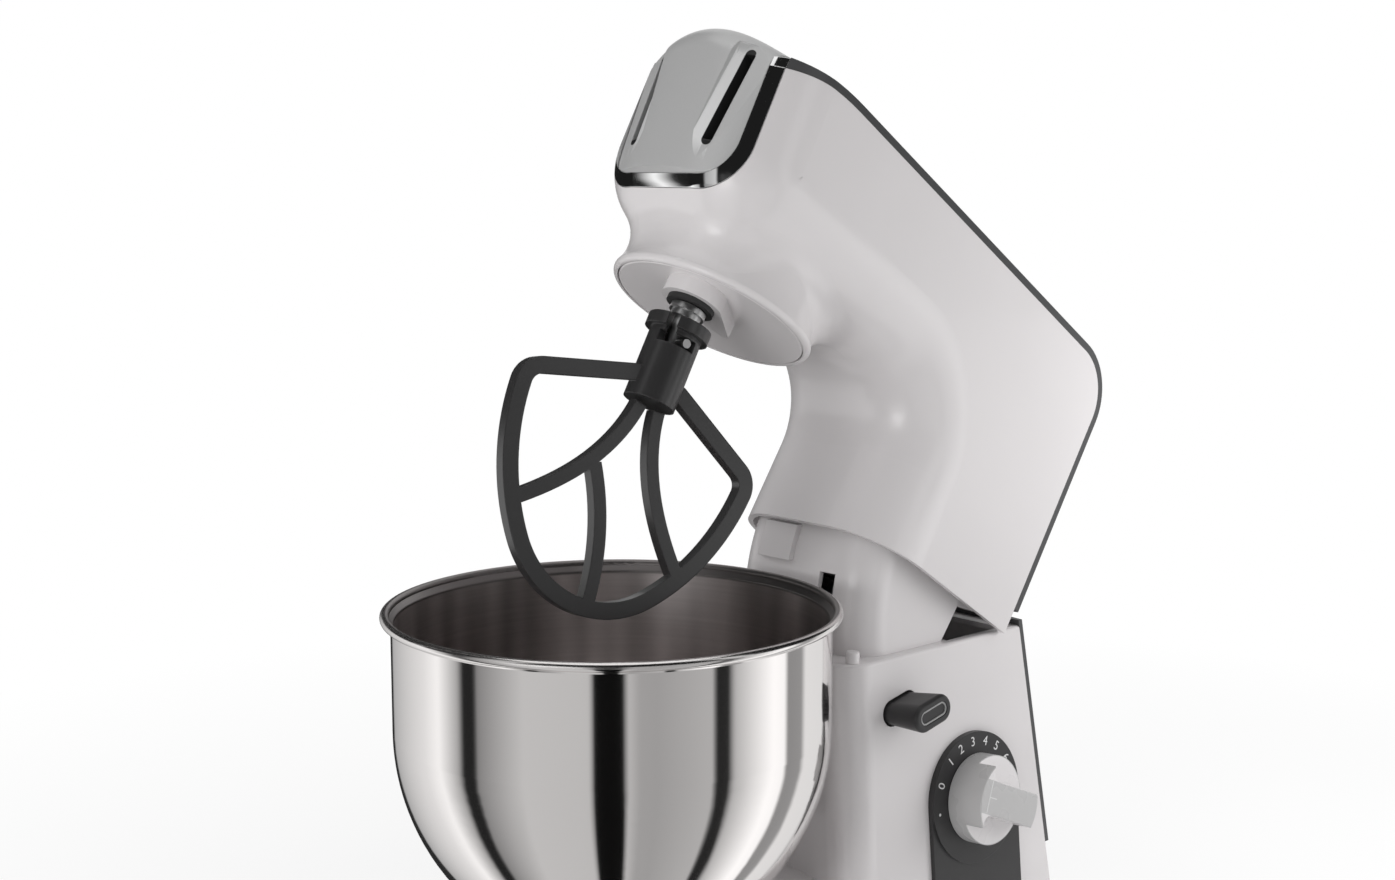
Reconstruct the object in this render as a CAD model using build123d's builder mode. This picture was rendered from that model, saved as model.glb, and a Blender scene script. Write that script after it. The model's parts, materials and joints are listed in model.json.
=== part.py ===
"""Tilt-head stand mixer with its head raised, in millimetres, +Z up, standing on the floor at z = 0.

The head points towards -X and the speed dial faces -Y. Every head piece is drawn in the closed machine's
coordinates (x from the bowl's axis, z from the floor) on planes that the tilt angle turns about the hinge.
"""
import os
from math import atan2, cos, degrees, pi, radians, sin, sqrt, tan

from build123d import *

os.makedirs("parts", exist_ok=True)

# Clearances
SEAT_GAP = 0.3
RUN_FIT = 0.05
BODY_GAP = 0.5

# Angles
QUARTER_TURN = 90.0
HALF_TURN = 180.0

# Head tilt
TILT = 33.6
HINGE_X = 228.2
HINGE_Z = 175.0
HINGE_PIN_R = 4.0

# Bowl
RIM_Z = 200.0
RIM_R = 108.8
RIM_BEAD_R = 2.2
BOWL_R = 106.0
BOWL_WALL = 1.4
BOWL_LIP_H = 6.0
BOWL_SHOULDER_Z = 142.0
BOWL_ARC_R = 114.0
BOWL_BOTTOM_Z = 47.0
BOWL_CORNER_R = 14.0
BOWL_FOOT_R = 50.5
BOWL_FOOT_WALL = 5.0
LUG_COUNT = 3
LUG_REACH = 4.5
LUG_H = 2.5
LUG_SPAN = 34.0
TAB_SPAN = 40.0
TAB_H = 2.5
CLAMP_WALL = 6.0
CLAMP_FLOOR = 2.0

# Base
FOOT_H = 5.0
FOOT_TAPER = 6.0
FOOT_R = 11.0
BASE_WALL = 3.0
BASE_BOTTOM_Z = 4.0
PLATE_T = 2.5
BASE_TOP_Z = 159.5
BASE_TOP_HALF = 54.0
BASE_FOOT_HALF = 68.0
BASE_BACK_TOP = 245.0
BASE_BACK_FOOT = 263.0
BASE_CORNER_R = 16.0
BASE_EDGE_R = 2.0
BOWL_CLEAR = 4.0
PLATFORM_Z = 42.0
PLATFORM_R = 92.0
PLATFORM_REAR = 150.0
PLATFORM_EDGE_R = 9.0
BACK_BAND_T = 3.0
BACK_BAND_CROWN = 3.0
BACK_BAND_TOP = 162.5
BACK_BAND_LOW = 36.0

# Neck that the head closes over
NECK_HALF = 48.0
NECK_FRONT_R = 105.0
NECK_TOP_Z = 232.0
NECK_EDGE_R = 20.0
NECK_WALL = 3.0
NECK_REAR_X = 186.5
NECK_SLOPE_X = 199.0
NECK_SLOPE_Z = 176.0
NECK_STEP_R = 108.3
NECK_STEP_LOW = 204.0
NECK_STEP_Y = 15.5
NECK_STEP_W = 23.0
EAR_R = 8.0
EAR_T = 8.0
EAR_HALF = 44.0
WELL_FRONT = 190.0
WELL_BACK = 235.0
WELL_HALF = 49.0
PEG_R = 3.6
PEG_H = 6.0
PEG_X = 119.0
PEG_Y = 47.0

# Head housing
HEAD_HALF = 58.0
HEAD_WALL = 3.0
HEAD_TOP = 321.5
TOP_SLOPE = 0.9
HEAD_BACK = 236.5
HEAD_CORNER_R = 28.0
HEAD_EDGE_R = 38.0
SKIRT_Z = 161.0
UNDERSIDE_Z = 240.0
COLUMN_FRONT = 115.5
ARM_INNER_R = 34.0
NOSE_TOP_X = -72.5
NOSE_LOW_X = -66.0
NOSE_BEND_X = -15.0
NOSE_DROP = 10.0
CAVITY_FRONT = -36.0
BAND_EDGE = 4.0
BAND_CROWN = 6.0
BAND_END_Z = 175.5
BACK_CUT_Z = 192.0
BACK_CUT_HALF = 46.0
BACK_WALL_Z = 166.0
HINGE_BOSS_R = 8.0

# Nose cap and its bright U-shaped trim
TRIM_HALF = 47.8
TRIM_LOW_Z = 253.0
TRIM_CORNER_R = 24.0
TRIM_W = 5.5
TRIM_BACK = -50.0
TRIM_END_R = 16.0
CAP_GAP = 0.2
CAP_LOW_X = -69.5
CAP_LOW_Z = 256.0
CAP_TOP_X = -83.0
CAP_PEAK_Z = 344.0
CAP_BULGE = 13.0
CAP_ARCH = 16.0
CAP_BACK_Z = 334.0
CAP_BACK_ARCH = 5.0
CAP_EDGE_R = 14.0
SCOOP_LOW_Y = 15.0
SCOOP_TOP_Y = 24.5
SCOOP_TOP_Z = 326.0
SCOOP_LEAN = 3.8
PANEL_X = -66.5
PANEL_FALL = 6.0
GRIP_SLOT_LOW_Y = 26.0
GRIP_SLOT_TOP_Y = 30.8
GRIP_SLOT_W = 5.5
GRIP_SLOT_LOW = 275.0
GRIP_SLOT_TOP = 321.0
GRIP_SLOT_DEPTH = 12.0

# Planetary drive
CARRIER_X = 1.6
DISC_Z = 218.5
DISC_T = 5.5
DISC_R = 49.5
COLLAR_R = 52.5
COLLAR_NECK_R = 47.0
COLLAR_NECK_Z = 247.0
COLLAR_EDGE_R = 2.0
COLLAR_BLEND_R = 20.0
TOOL_OFFSET = 29.0
TOOL_ANGLE = -150.0
RING_TEETH = 54
PLANET_TEETH = 14
RING_R = 45.0
RING_BOTTOM_Z = 226.0
RING_TOP_Z = 240.8
BACKLASH = 0.6
GEAR_PLATE_T = 5.0
CARRIER_HUB_R = 13.0
CARRIER_SHAFT_R = 7.0
BUSH_WALL = 3.5
BORE_TOP_Z = 262.0
SCREW_CIRCLE_R = 43.0
SCREW_R = 1.5
SCREW_HEAD_R = 2.6
SCREW_HEAD_H = 1.8
TOOTH_TIP = 0.8
PRESSURE_ANGLE = 20.0
TOOTH_ROOT = 1.1
CARRIER_TEETH = 48
PINION_TEETH = 12
GEAR_MODULE = 1.0
GEAR_FACE = 8.0
BOSS_R = 15.5
BOSS_DROP = 8.0
BOSS_TAIL = 12.0
BOSS_TAIL_R = 1.5
SEAL_R = 12.0
SEAL_H = 2.5

# Belt and motor
PULLEY_R = 42.0
PULLEY_BOTTOM_Z = 258.0
PULLEY_H = 12.0
PULLEY_FLANGE = 2.0
BELT_T = 2.2
BELT_H = 7.0
AXLE_R = 3.0
MOTOR_X = 170.0
LEDGE_L = 20.0
LEDGE_W = 5.0
LEDGE_H = 8.0
MOTOR_PULLEY_R = 8.0
MOTOR_SHAFT_R = 4.0
BRACKET_Z = 272.0
BRACKET_T = 3.0
BRACKET_FRONT = 122.0
BRACKET_BACK = 226.0
STATOR_R = 31.0
STATOR_BORE_R = 18.0
STATOR_Z = 279.0
STATOR_H = 22.0
STATOR_YOKE = 6.0
POLE_SPAN = 110.0
POLE_GAP = 4.0
BOSS_WALL = 3.5
ROTOR_R = 17.2
BELL_T = 3.0
BELL_H = 7.0
BRUSH_W = 5.0
COMMUTATOR_R = 8.0
FAN_R = 27.0
FAN_H = 6.0
FAN_DISC_T = 1.5
FAN_BLADES = 9
FAN_HUB_R = 8.0

# Tool shaft and beater
SHAFT_R = 5.0
SHAFT_END_Z = 170.0
HANG = 4.0
BEATER_TURN = -12.0
PIN_Z = 188.0
PIN_R = 2.2
RING_R1 = 9.0
RING_R2 = 7.5
RING_H = 3.0
HUB_R = 12.8
HUB_TOP = 11.0
HUB_LOW = -31.0
HUB_FLANGE_R = 15.8
HUB_FLANGE_H = 6.0
HUB_BORE_R = 6.8
BAR_W = 8.0
BAR_T = 6.5
LOOP_HALF = 66.0
LOOP_SHOULDER_V = -42.0
LOOP_ARM_V = -20.5
LOOP_LOW_U = 37.0
LOOP_LOW_V = -116.0
LOOP_BOTTOM_V = -132.5
LOOP_CORNER_R = 10.0
RIB_W = 6.5
SLOT_TURN = 42.0

# Controls on the dial side
DIAL_X = 198.2
DIAL_Z = 75.0
BEZEL_R = 35.2
BEZEL_T = 2.5
BEZEL_LOW = 58.0
KNOB_R = 23.8
KNOB_T = 10.0
KNOB_EDGE_R = 0.8
GRIP_W = 18.0
GRIP_H = 22.0
GRIP_END = 6.5
GRIP_CORNER_R = 5.0
KNOB_SHAFT_R = 4.0
ZERO_ANGLE = 156.5
SWITCH_SIZE = 34.0
SWITCH_DEPTH = 22.0
BUTTON_X = 145.6
BUTTON_Z = 132.5
BUTTON_L = 28.0
BUTTON_W = 15.0
BUTTON_LEAN = 12.0
BUTTON_TAPER = 4.0
BUTTON_OUT = 23.0
BUTTON_FLOOR = 6.0
STEM_R = 4.5
LATCH_Y = 22.0
LATCH_W = 12.0
LATCH_TOP = 200.0
BUTTON_TRAVEL = 8.0
LATCH_BAR_H = 12.0
STEM_L = 8.0
BUTTON_EDGE_R = 2.0
BEZEL_STEP = 1.2
KNOB_SHAFT_L = 20.0
WINDOW_Z = 194.0
WINDOW_W = 11.0
WINDOW_H = 14.0

# Cord inlet, control board and vents
GLAND_R = 7.0
GLAND_FLANGE = 2.5
GLAND_Y = 32.0
GLAND_Z = 20.0
CORD_R = 3.6
BOARD_X = 185.0
BOARD_Y = 15.0
BOARD_L = 90.0
BOARD_W = 60.0
BOARD_T = 1.6
BOARD_PARTS_H = 14.0
POST_R = 3.0
POST_H = 8.0
VENT_X = 100.0
VENT_PITCH = 9.0
VENT_COUNT = 5
VENT_L = 40.0
VENT_W = 4.0
BASE_SCREWS = [(30.0, -60.0), (30.0, 60.0), (245.0, -30.0), (245.0, 30.0)]
FEET = [(-50.0, -52.0), (-50.0, 52.0), (232.0, -50.0), (232.0, 50.0)]

# Where the part's origin lies: below the middle of its length
TURN = radians(TILT)
corner_dx = HEAD_BACK - HEAD_CORNER_R - HINGE_X
corner_dz = HEAD_TOP - HEAD_CORNER_R - HINGE_Z
corner_r = HEAD_CORNER_R + BAND_EDGE + BAND_CROWN
rear_reach = HINGE_X + corner_dx * cos(TURN) + corner_dz * sin(TURN) + corner_r
front_reach = RIM_R + RIM_BEAD_R
BOWL_X = (front_reach - rear_reach) / 2

HEAD_FORWARD = (cos(TURN), 0, -sin(TURN))
HEAD_UP = (sin(TURN), 0, cos(TURN))


def raised(x, y, z):
    """A point of the closed head, carried round the hinge to the raised head."""
    dx = x - HINGE_X
    dz = z - HINGE_Z
    along = HINGE_X + dx * cos(TURN) + dz * sin(TURN)
    up = HINGE_Z - dx * sin(TURN) + dz * cos(TURN)
    return (BOWL_X + along, y, up)


def head_level(z, x=0.0, y=0.0):
    """A plane across the head's drive axis at height z of the closed machine."""
    return Plane(origin=raised(x, y, z), x_dir=HEAD_FORWARD, z_dir=HEAD_UP)


def head_front(x):
    """A plane across the head at x, with y to its right and the head's height upwards."""
    return Plane(origin=raised(x, 0, 0), x_dir=(0, 1, 0), z_dir=HEAD_FORWARD)


def base_level(z):
    """A level plane of the base with its origin on the bowl's axis."""
    return Plane(origin=(BOWL_X, 0, z))


HEAD_SIDE = Plane(origin=raised(0, 0, 0), x_dir=HEAD_FORWARD, z_dir=(0, -1, 0))
BASE_SIDE = Plane(origin=(BOWL_X, 0, 0), x_dir=(1, 0, 0), z_dir=(0, -1, 0))
BOWL_AXIS = Axis((BOWL_X, 0, 0), (0, 0, 1))
CARRIER_AXIS = Axis(raised(CARRIER_X, 0, 0), HEAD_UP)
tool_x = CARRIER_X + TOOL_OFFSET * cos(radians(TOOL_ANGLE))
tool_y = TOOL_OFFSET * sin(radians(TOOL_ANGLE))
TOOL_AXIS = Axis(raised(tool_x, tool_y, 0), HEAD_UP)


def base_half(z):
    """Half the base tower's width at height z."""
    share = (BASE_TOP_Z - z) / BASE_TOP_Z
    return BASE_TOP_HALF + share * (BASE_FOOT_HALF - BASE_TOP_HALF)


def base_back(z):
    """How far back the base tower reaches at height z."""
    share = (BASE_TOP_Z - z) / BASE_TOP_Z
    return BASE_BACK_TOP + share * (BASE_BACK_FOOT - BASE_BACK_TOP)


base_bowl_r = RIM_R + RIM_BEAD_R + BOWL_CLEAR
base_front = sqrt(base_bowl_r**2 - BASE_FOOT_HALF**2) - 2 * BASE_WALL
side_lean = atan2(BASE_FOOT_HALF - BASE_TOP_HALF, BASE_TOP_Z)
back_lean = atan2(BASE_BACK_FOOT - BASE_BACK_TOP, BASE_TOP_Z)


def dial_side(x, z, out=0.0):
    """A plane on the base's dial side, facing out, its origin lifted by out from the wall."""
    lift_y = -out * cos(side_lean)
    lift_z = out * sin(side_lean)
    origin = (BOWL_X + x, -base_half(z) + lift_y, z + lift_z)
    return Plane(origin=origin, x_dir=(1, 0, 0), z_dir=(0, -cos(side_lean), sin(side_lean)))


def button_size(out, gap=0.0):
    """The release button's length and width where it stands out from the wall, with a gap round it."""
    taper = 2 * (BUTTON_OUT - out) * tan(radians(BUTTON_TAPER))
    return BUTTON_L - taper + 2 * gap, BUTTON_W - taper + 2 * gap


def gear_points(teeth, module, tooth_w, tip, root, phase):
    """Corners of a straight-flanked gear: tooth_w is its tooth's width at the pitch circle."""
    pitch_r = teeth * module / 2
    flank = tan(radians(PRESSURE_ANGLE))
    tip_half = (tooth_w / 2 - (tip - pitch_r) * flank) / tip
    root_half = (tooth_w / 2 + (pitch_r - root) * flank) / root
    points = []
    for tooth in range(teeth):
        middle = radians(phase) + 2 * pi * tooth / teeth
        for radius, turn in ((root, -root_half), (tip, -tip_half), (tip, tip_half), (root, root_half)):
            points.append((radius * cos(middle + turn), radius * sin(middle + turn)))
    return points


foot_z = PLATFORM_Z - TAB_H - BODY_GAP - LUG_H
clamp_floor_z = foot_z - SEAT_GAP
socket_r = BOWL_FOOT_R + LUG_REACH + BODY_GAP
clamp_r = socket_r + CLAMP_WALL
recess_z = clamp_floor_z - CLAMP_FLOOR


def ring_sectors(inner, outer, span):
    """Equal sectors of a ring, one for each bayonet lug."""
    with BuildSketch() as sectors:
        for turn in range(LUG_COUNT):
            start = 360 / LUG_COUNT * turn - span / 2
            with BuildLine():
                near = CenterArc((0, 0), inner, start, span)
                far = CenterArc((0, 0), outer, start, span)
                Line(near @ 0, far @ 0)
                Line(near @ 1, far @ 1)
            make_face()
    return sectors.sketch


def tower_plan(z, inset):
    """The tower's outline at height z, drawn in by inset."""
    front = base_front + inset
    length = base_back(z) - inset - front
    with Locations((front + length / 2, 0)):
        Rectangle(length, 2 * (base_half(z) - inset))


def platform_plan(inset):
    """The platform's outline: a round front and straight sides that run into the tower."""
    radius = PLATFORM_R - inset
    rear_half = base_half(PLATFORM_Z) - inset
    lean = atan2(PLATFORM_R - rear_half, PLATFORM_REAR)
    edge = (radius * sin(lean), radius * cos(lean))
    with BuildSketch() as plan:
        with BuildLine():
            ThreePointArc((edge[0], edge[1]), (-radius, 0), (edge[0], -edge[1]))
            Polyline((edge[0], -edge[1]), (PLATFORM_REAR, -rear_half), (PLATFORM_REAR, rear_half), edge)
        make_face()
    return plan.sketch


def is_rising(edge):
    """True for an edge that runs up the tower rather than round it."""
    return abs((edge % 0.5).Z) > 0.9


def lens_section(x, half, edge, crown):
    """A cover's section: flat inside at x, edge thick at its sides and crowned between them."""
    with BuildSketch() as section:
        with BuildLine():
            inner = Line((x, half), (x, -half))
            outer_low = (x + edge, -half)
            outer_high = (x + edge, half)
            Line(inner @ 1, outer_low)
            ThreePointArc(outer_low, (x + edge + crown, 0), outer_high)
            Line(outer_high, inner @ 0)
        make_face()
    return section.sketch


def neck_profile(inset):
    """The neck's side outline, its front an arc about the hinge, drawn in by inset."""
    radius = NECK_FRONT_R - inset
    low_z = BASE_TOP_Z
    top_z = NECK_TOP_Z - inset
    mid_z = (low_z + top_z) / 2

    def front_at(z):
        return (HINGE_X - sqrt(radius**2 - (z - HINGE_Z) ** 2), z)

    with BuildSketch() as profile:
        with BuildLine():
            front = ThreePointArc(front_at(low_z), front_at(mid_z), front_at(top_z))
            rear = (NECK_SLOPE_X + EAR_R - inset, NECK_SLOPE_Z + 2 * EAR_R - inset)
            slope = (NECK_SLOPE_X - inset, NECK_SLOPE_Z)
            Polyline(front @ 1, rear, slope, (NECK_REAR_X - inset, low_z), front @ 0)
        make_face()
    return profile.sketch


def is_neck_front(edge):
    """True for the two curved edges at the sides of the neck's front."""
    return edge.geom_type == GeomType.CIRCLE


step_top = NECK_TOP_Z - NECK_EDGE_R / 2
step_reach = NECK_FRONT_R - sqrt(NECK_FRONT_R**2 - (step_top - HINGE_Z) ** 2) + NECK_WALL / 2
neck_face = Plane(origin=(BOWL_X + HINGE_X - NECK_FRONT_R, 0, 0), x_dir=(0, 1, 0), z_dir=(1, 0, 0))
board_z = FOOT_H + PLATE_T + POST_H
BOARD_POSTS = [
    (BOARD_X + side * (BOARD_L / 2 - POST_R), BOARD_Y + end * (BOARD_W / 2 - POST_R))
    for side in (-1, 1)
    for end in (-1, 1)
]
knob_seat = BEZEL_T + BEZEL_STEP + SEAT_GAP
band_reach = HEAD_BACK + BAND_EDGE + BAND_CROWN - HINGE_X
swing_r = sqrt(band_reach**2 + (HINGE_Z - BAND_END_Z) ** 2) + BODY_GAP
gland_plane = Plane(
    origin=(BOWL_X + base_back(GLAND_Z), GLAND_Y, GLAND_Z),
    x_dir=(0, 1, 0),
    z_dir=(cos(back_lean), 0, sin(back_lean)),
)

latch_low_z = BUTTON_Z - LATCH_BAR_H / 2
latch_reach = base_half(BUTTON_Z) - BUTTON_FLOOR - STEM_L - LATCH_Y + LATCH_W / 2
arm_x = COLUMN_FRONT - ARM_INNER_R
arm_z = UNDERSIDE_Z - ARM_INNER_R
slope = radians(TOP_SLOPE)
back_bend = (HEAD_BACK, HEAD_TOP - HEAD_CORNER_R)
top_bend = (HEAD_BACK - HEAD_CORNER_R * (1 - sin(slope)), HEAD_TOP - HEAD_CORNER_R * (1 - cos(slope)))
crest_z = top_bend[1] + (top_bend[0] - NOSE_BEND_X) * tan(slope)
nose_bend = (NOSE_BEND_X, crest_z)
nose_top = (NOSE_TOP_X, crest_z - NOSE_DROP)
nose_peak = crest_z - NOSE_DROP + BAND_EDGE + BAND_CROWN
top_tangent = (-cos(slope), sin(slope))
cap_depth = TRIM_BACK - CAP_TOP_X + CAP_BULGE

with BuildLine() as crown_line:
    Line((HEAD_BACK, BAND_END_Z), back_bend)
    TangentArc(back_bend, top_bend, tangent=(0, 1))
    Line(top_bend, nose_bend)
    TangentArc(nose_bend, nose_top, tangent=top_tangent)
crown_path = HEAD_SIDE.from_local_coords(crown_line.wire())


def is_head_edge(edge):
    """True for the head's rounded edges: beside its front, underside and column, and across its chin."""
    spot = HEAD_SIDE.to_local_coords(edge.center())
    if abs(spot.Z) > HEAD_HALF / 2:
        return spot.X < COLUMN_FRONT + 1 and spot.Y < HEAD_TOP - 2 * NOSE_DROP
    return spot.X < NOSE_LOW_X + 1 and spot.Y < UNDERSIDE_Z + 1


def is_cavity_edge(edge):
    """True for the cavity's side edges along its floor, its arm and its column."""
    spot = HEAD_SIDE.to_local_coords(edge.center())
    beside = abs(spot.Z) > HEAD_HALF / 2
    return beside and spot.X < COLUMN_FRONT + HEAD_WALL + 1 and spot.Y < UNDERSIDE_Z + HEAD_WALL + 1


def is_collar_crease(edge):
    """True for the edges where the collar runs into the head."""
    spot = head_level(0, CARRIER_X).to_local_coords(edge @ 0.5)
    across = sqrt(spot.X**2 + spot.Y**2)
    return COLLAR_NECK_R - 1 < across < COLLAR_R and UNDERSIDE_Z - 1 < spot.Z < BORE_TOP_Z - 1


def head_plan():
    """The head seen from above, with its two rounded front corners."""
    length = HEAD_BACK - NOSE_TOP_X + 2 * HEAD_CORNER_R
    with BuildSketch() as plan:
        with Locations((NOSE_TOP_X + length / 2, 0)):
            Rectangle(length, 2 * HEAD_HALF)
        fillet(plan.vertices().sort_by(Axis.X)[:2], radius=HEAD_EDGE_R)
    return plan.sketch


def nose_outline(inset):
    """The nose's U-shaped outline seen from the front, drawn in by inset and open at the top."""
    half = TRIM_HALF - inset
    low = TRIM_LOW_Z + inset
    with BuildSketch() as outline:
        with Locations((0, low + HEAD_HALF)):
            Rectangle(2 * half, 2 * HEAD_HALF)
        fillet(outline.vertices().group_by(Axis.Y)[0], radius=TRIM_CORNER_R - inset)
    return outline.sketch


cap_half = TRIM_HALF - TRIM_W - CAP_GAP
slot_low_edge = GRIP_SLOT_LOW_Y - GRIP_SLOT_W / 2
slot_top_edge = GRIP_SLOT_TOP_Y - GRIP_SLOT_W / 2


def cap_outline(peak_z, arch):
    """The cap's outline seen from the front, inside the trim, with an arched top."""
    low = TRIM_LOW_Z + TRIM_W + CAP_GAP
    with BuildSketch() as outline:
        with BuildLine() as line:
            ThreePointArc((-cap_half, peak_z - arch), (0, peak_z), (cap_half, peak_z - arch))
            Polyline((cap_half, peak_z - arch), (cap_half, low), (-cap_half, low), (-cap_half, peak_z - arch))
            fillet(line.vertices().group_by(Axis.Y)[0], radius=TRIM_CORNER_R - TRIM_W - CAP_GAP)
        make_face()
    return outline.sketch


def is_cap_brow(edge):
    """True for the edge between the cap's front and its arched top."""
    spot = HEAD_SIDE.to_local_coords(edge @ 0.5)
    return spot.X < CAP_LOW_X and spot.Y > CAP_PEAK_Z - CAP_ARCH / 2


planet_module = 2 * TOOL_OFFSET / (RING_TEETH - PLANET_TEETH)
planet_tooth = (pi * planet_module - BACKLASH) / 2
ring_pitch_r = RING_TEETH * planet_module / 2
ring_gaps = gear_points(
    RING_TEETH,
    planet_module,
    planet_tooth + BACKLASH,
    ring_pitch_r + TOOTH_ROOT * planet_module,
    ring_pitch_r - TOOTH_TIP * planet_module,
    TOOL_ANGLE,
)
planet_z = RING_BOTTOM_Z + BODY_GAP
stage_offset = (CARRIER_TEETH + PINION_TEETH) * GEAR_MODULE / 2
stage_tooth = (pi * GEAR_MODULE - BACKLASH) / 2
half_tooth = HALF_TURN / CARRIER_TEETH
plate_top = RING_TOP_Z + GEAR_PLATE_T
carrier_gear_z = plate_top + SCREW_HEAD_H
belt_z = PULLEY_BOTTOM_Z + (PULLEY_H - BELT_H) / 2
bell_z = STATOR_Z + STATOR_H
fan_z = bell_z + BELL_H + BELL_T + 3 * BODY_GAP
winding_span = HALF_TURN - POLE_SPAN - POLE_GAP
blade_inner = FAN_HUB_R / 2
blade_outer = FAN_R - FAN_DISC_T


def gear_radii(teeth, module):
    """A gear's tip and root radii."""
    pitch_r = teeth * module / 2
    return pitch_r + TOOTH_TIP * module, pitch_r - TOOTH_ROOT * module


carrier_gear_radii = gear_radii(CARRIER_TEETH, GEAR_MODULE)
planet_radii = gear_radii(PLANET_TEETH, planet_module)
pinion_radii = gear_radii(PINION_TEETH, GEAR_MODULE)
carrier_gear_points = gear_points(CARRIER_TEETH, GEAR_MODULE, stage_tooth, *carrier_gear_radii, half_tooth)
planet_points = gear_points(PLANET_TEETH, planet_module, planet_tooth, *planet_radii, TOOL_ANGLE)
pinion_points = gear_points(PINION_TEETH, GEAR_MODULE, stage_tooth, *pinion_radii, HALF_TURN)
ledge_pitch = BRACKET_BACK - BRACKET_FRONT - LEDGE_L


def belt_loop(out):
    """The belt's path round both pulleys, lifted from them by out."""
    with BuildSketch() as loop:
        with Locations((CARRIER_X + stage_offset, 0)):
            Circle(PULLEY_R + out)
        with Locations((MOTOR_X, 0)):
            Circle(MOTOR_PULLEY_R + out)
        make_hull()
    return loop.sketch


def sector(inner, outer, middle, span):
    """A sector of a ring about the origin."""
    with BuildSketch() as piece:
        with BuildLine():
            near = CenterArc((0, 0), inner, middle - span / 2, span)
            far = CenterArc((0, 0), outer, middle - span / 2, span)
            Line(near @ 0, far @ 0)
            Line(near @ 1, far @ 1)
        make_face()
    return piece.sketch


def pin_slot():
    """Both side legs of the bayonet slot, from the pin's place to the upright legs."""
    with BuildSketch() as slot:
        for start in (90, -90):
            add(sector(HUB_BORE_R - 1, 2 * HUB_R, start - SLOT_TURN / 2, SLOT_TURN + 2 * pin_reach))
    return slot.sketch


def is_shoulder(vertex):
    """True for the beater loop's two upper corners."""
    return abs(abs(vertex.X) - LOOP_HALF) < 1


beater_u = Vector(*HEAD_FORWARD) * cos(radians(BEATER_TURN)) + Vector(0, 1, 0) * sin(radians(BEATER_TURN))
beater_up = Vector(*HEAD_UP)
pin_reach = degrees(atan2(PIN_R + BODY_GAP, HUB_BORE_R - 1))
hang = radians(HANG)
beater_x = beater_u * cos(hang) + beater_up * sin(hang)
beater_y = beater_up * cos(hang) - beater_u * sin(hang)
beater_plane = Plane(origin=raised(tool_x, tool_y, PIN_Z), x_dir=beater_x, z_dir=beater_u.cross(beater_up))
RIB_POINTS = [(5.3, -33.0), (9.5, -50.0), (17.9, -67.0), (30.0, -83.0), (46.3, -99.0)]
CROSS_RIB = [(-16.0, -69.0), (0.7, -100.0), (7.8, -132.0)]


def beater_level(height):
    """A plane across the beater's hub at a height above its pin."""
    return Plane(origin=beater_plane.from_local_coords(Vector(0, height, 0)), x_dir=beater_x, z_dir=beater_y)


# Bowl: a spun steel shell with a rolled rim
arc_x = BOWL_R - BOWL_ARC_R
flat_r = arc_x + sqrt(BOWL_ARC_R**2 - (BOWL_SHOULDER_Z - BOWL_BOTTOM_Z) ** 2)
with BuildPart() as bowl:
    with BuildSketch(BASE_SIDE):
        with BuildLine() as shell_line:
            floor_line = Line((0, BOWL_BOTTOM_Z), (flat_r, BOWL_BOTTOM_Z))
            shoulder = (BOWL_R, BOWL_SHOULDER_Z)
            belly = TangentArc(shoulder, (flat_r, BOWL_BOTTOM_Z), tangent=(0, -1))
            wall_line = Line(shoulder, (BOWL_R, RIM_Z - BOWL_LIP_H))
            Line(wall_line @ 1, (RIM_R, RIM_Z - RIM_BEAD_R))
            fillet(shell_line.vertices().group_by(Axis.X)[1], radius=BOWL_CORNER_R)
            offset(amount=BOWL_WALL, side=Side.LEFT)
        make_face()
        with Locations((RIM_R, RIM_Z - RIM_BEAD_R)):
            Circle(RIM_BEAD_R)
    revolve(axis=BOWL_AXIS)

with BuildPart() as bowl_foot:
    with BuildSketch(base_level(foot_z)):
        Circle(BOWL_FOOT_R)
        Circle(BOWL_FOOT_R - BOWL_FOOT_WALL, mode=Mode.SUBTRACT)
    extrude(amount=BOWL_BOTTOM_Z - foot_z)
    with BuildSketch(base_level(foot_z)):
        add(ring_sectors(BOWL_FOOT_R - 1, BOWL_FOOT_R + LUG_REACH, LUG_SPAN))
    extrude(amount=LUG_H)

# Base: a flared tower behind the bowl, on a low round platform below it
with BuildPart() as base_cavity:
    with BuildSketch(base_level(BASE_BOTTOM_Z)):
        tower_plan(BASE_BOTTOM_Z, BASE_WALL)
    with BuildSketch(base_level(BASE_TOP_Z - BASE_WALL)):
        tower_plan(BASE_TOP_Z - BASE_WALL, BASE_WALL)
    loft(ruled=True)
    with BuildSketch(base_level(BASE_BOTTOM_Z)):
        Circle(base_bowl_r + BASE_WALL)
    extrude(amount=BASE_TOP_Z, mode=Mode.SUBTRACT)
    fillet(base_cavity.edges().filter_by(is_rising).sort_by(Axis.X)[:2], radius=BASE_CORNER_R - BASE_WALL)
    with BuildSketch(base_level(BASE_BOTTOM_Z)):
        add(platform_plan(BASE_WALL))
    extrude(amount=recess_z - BASE_WALL - BASE_BOTTOM_Z)

with BuildPart() as platform:
    with BuildSketch(base_level(BASE_BOTTOM_Z)):
        add(platform_plan(0))
    extrude(amount=PLATFORM_Z - BASE_BOTTOM_Z)
    fillet(platform.faces().sort_by(Axis.Z)[-1].edges().sort_by(Axis.X)[:3], radius=PLATFORM_EDGE_R)

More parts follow.
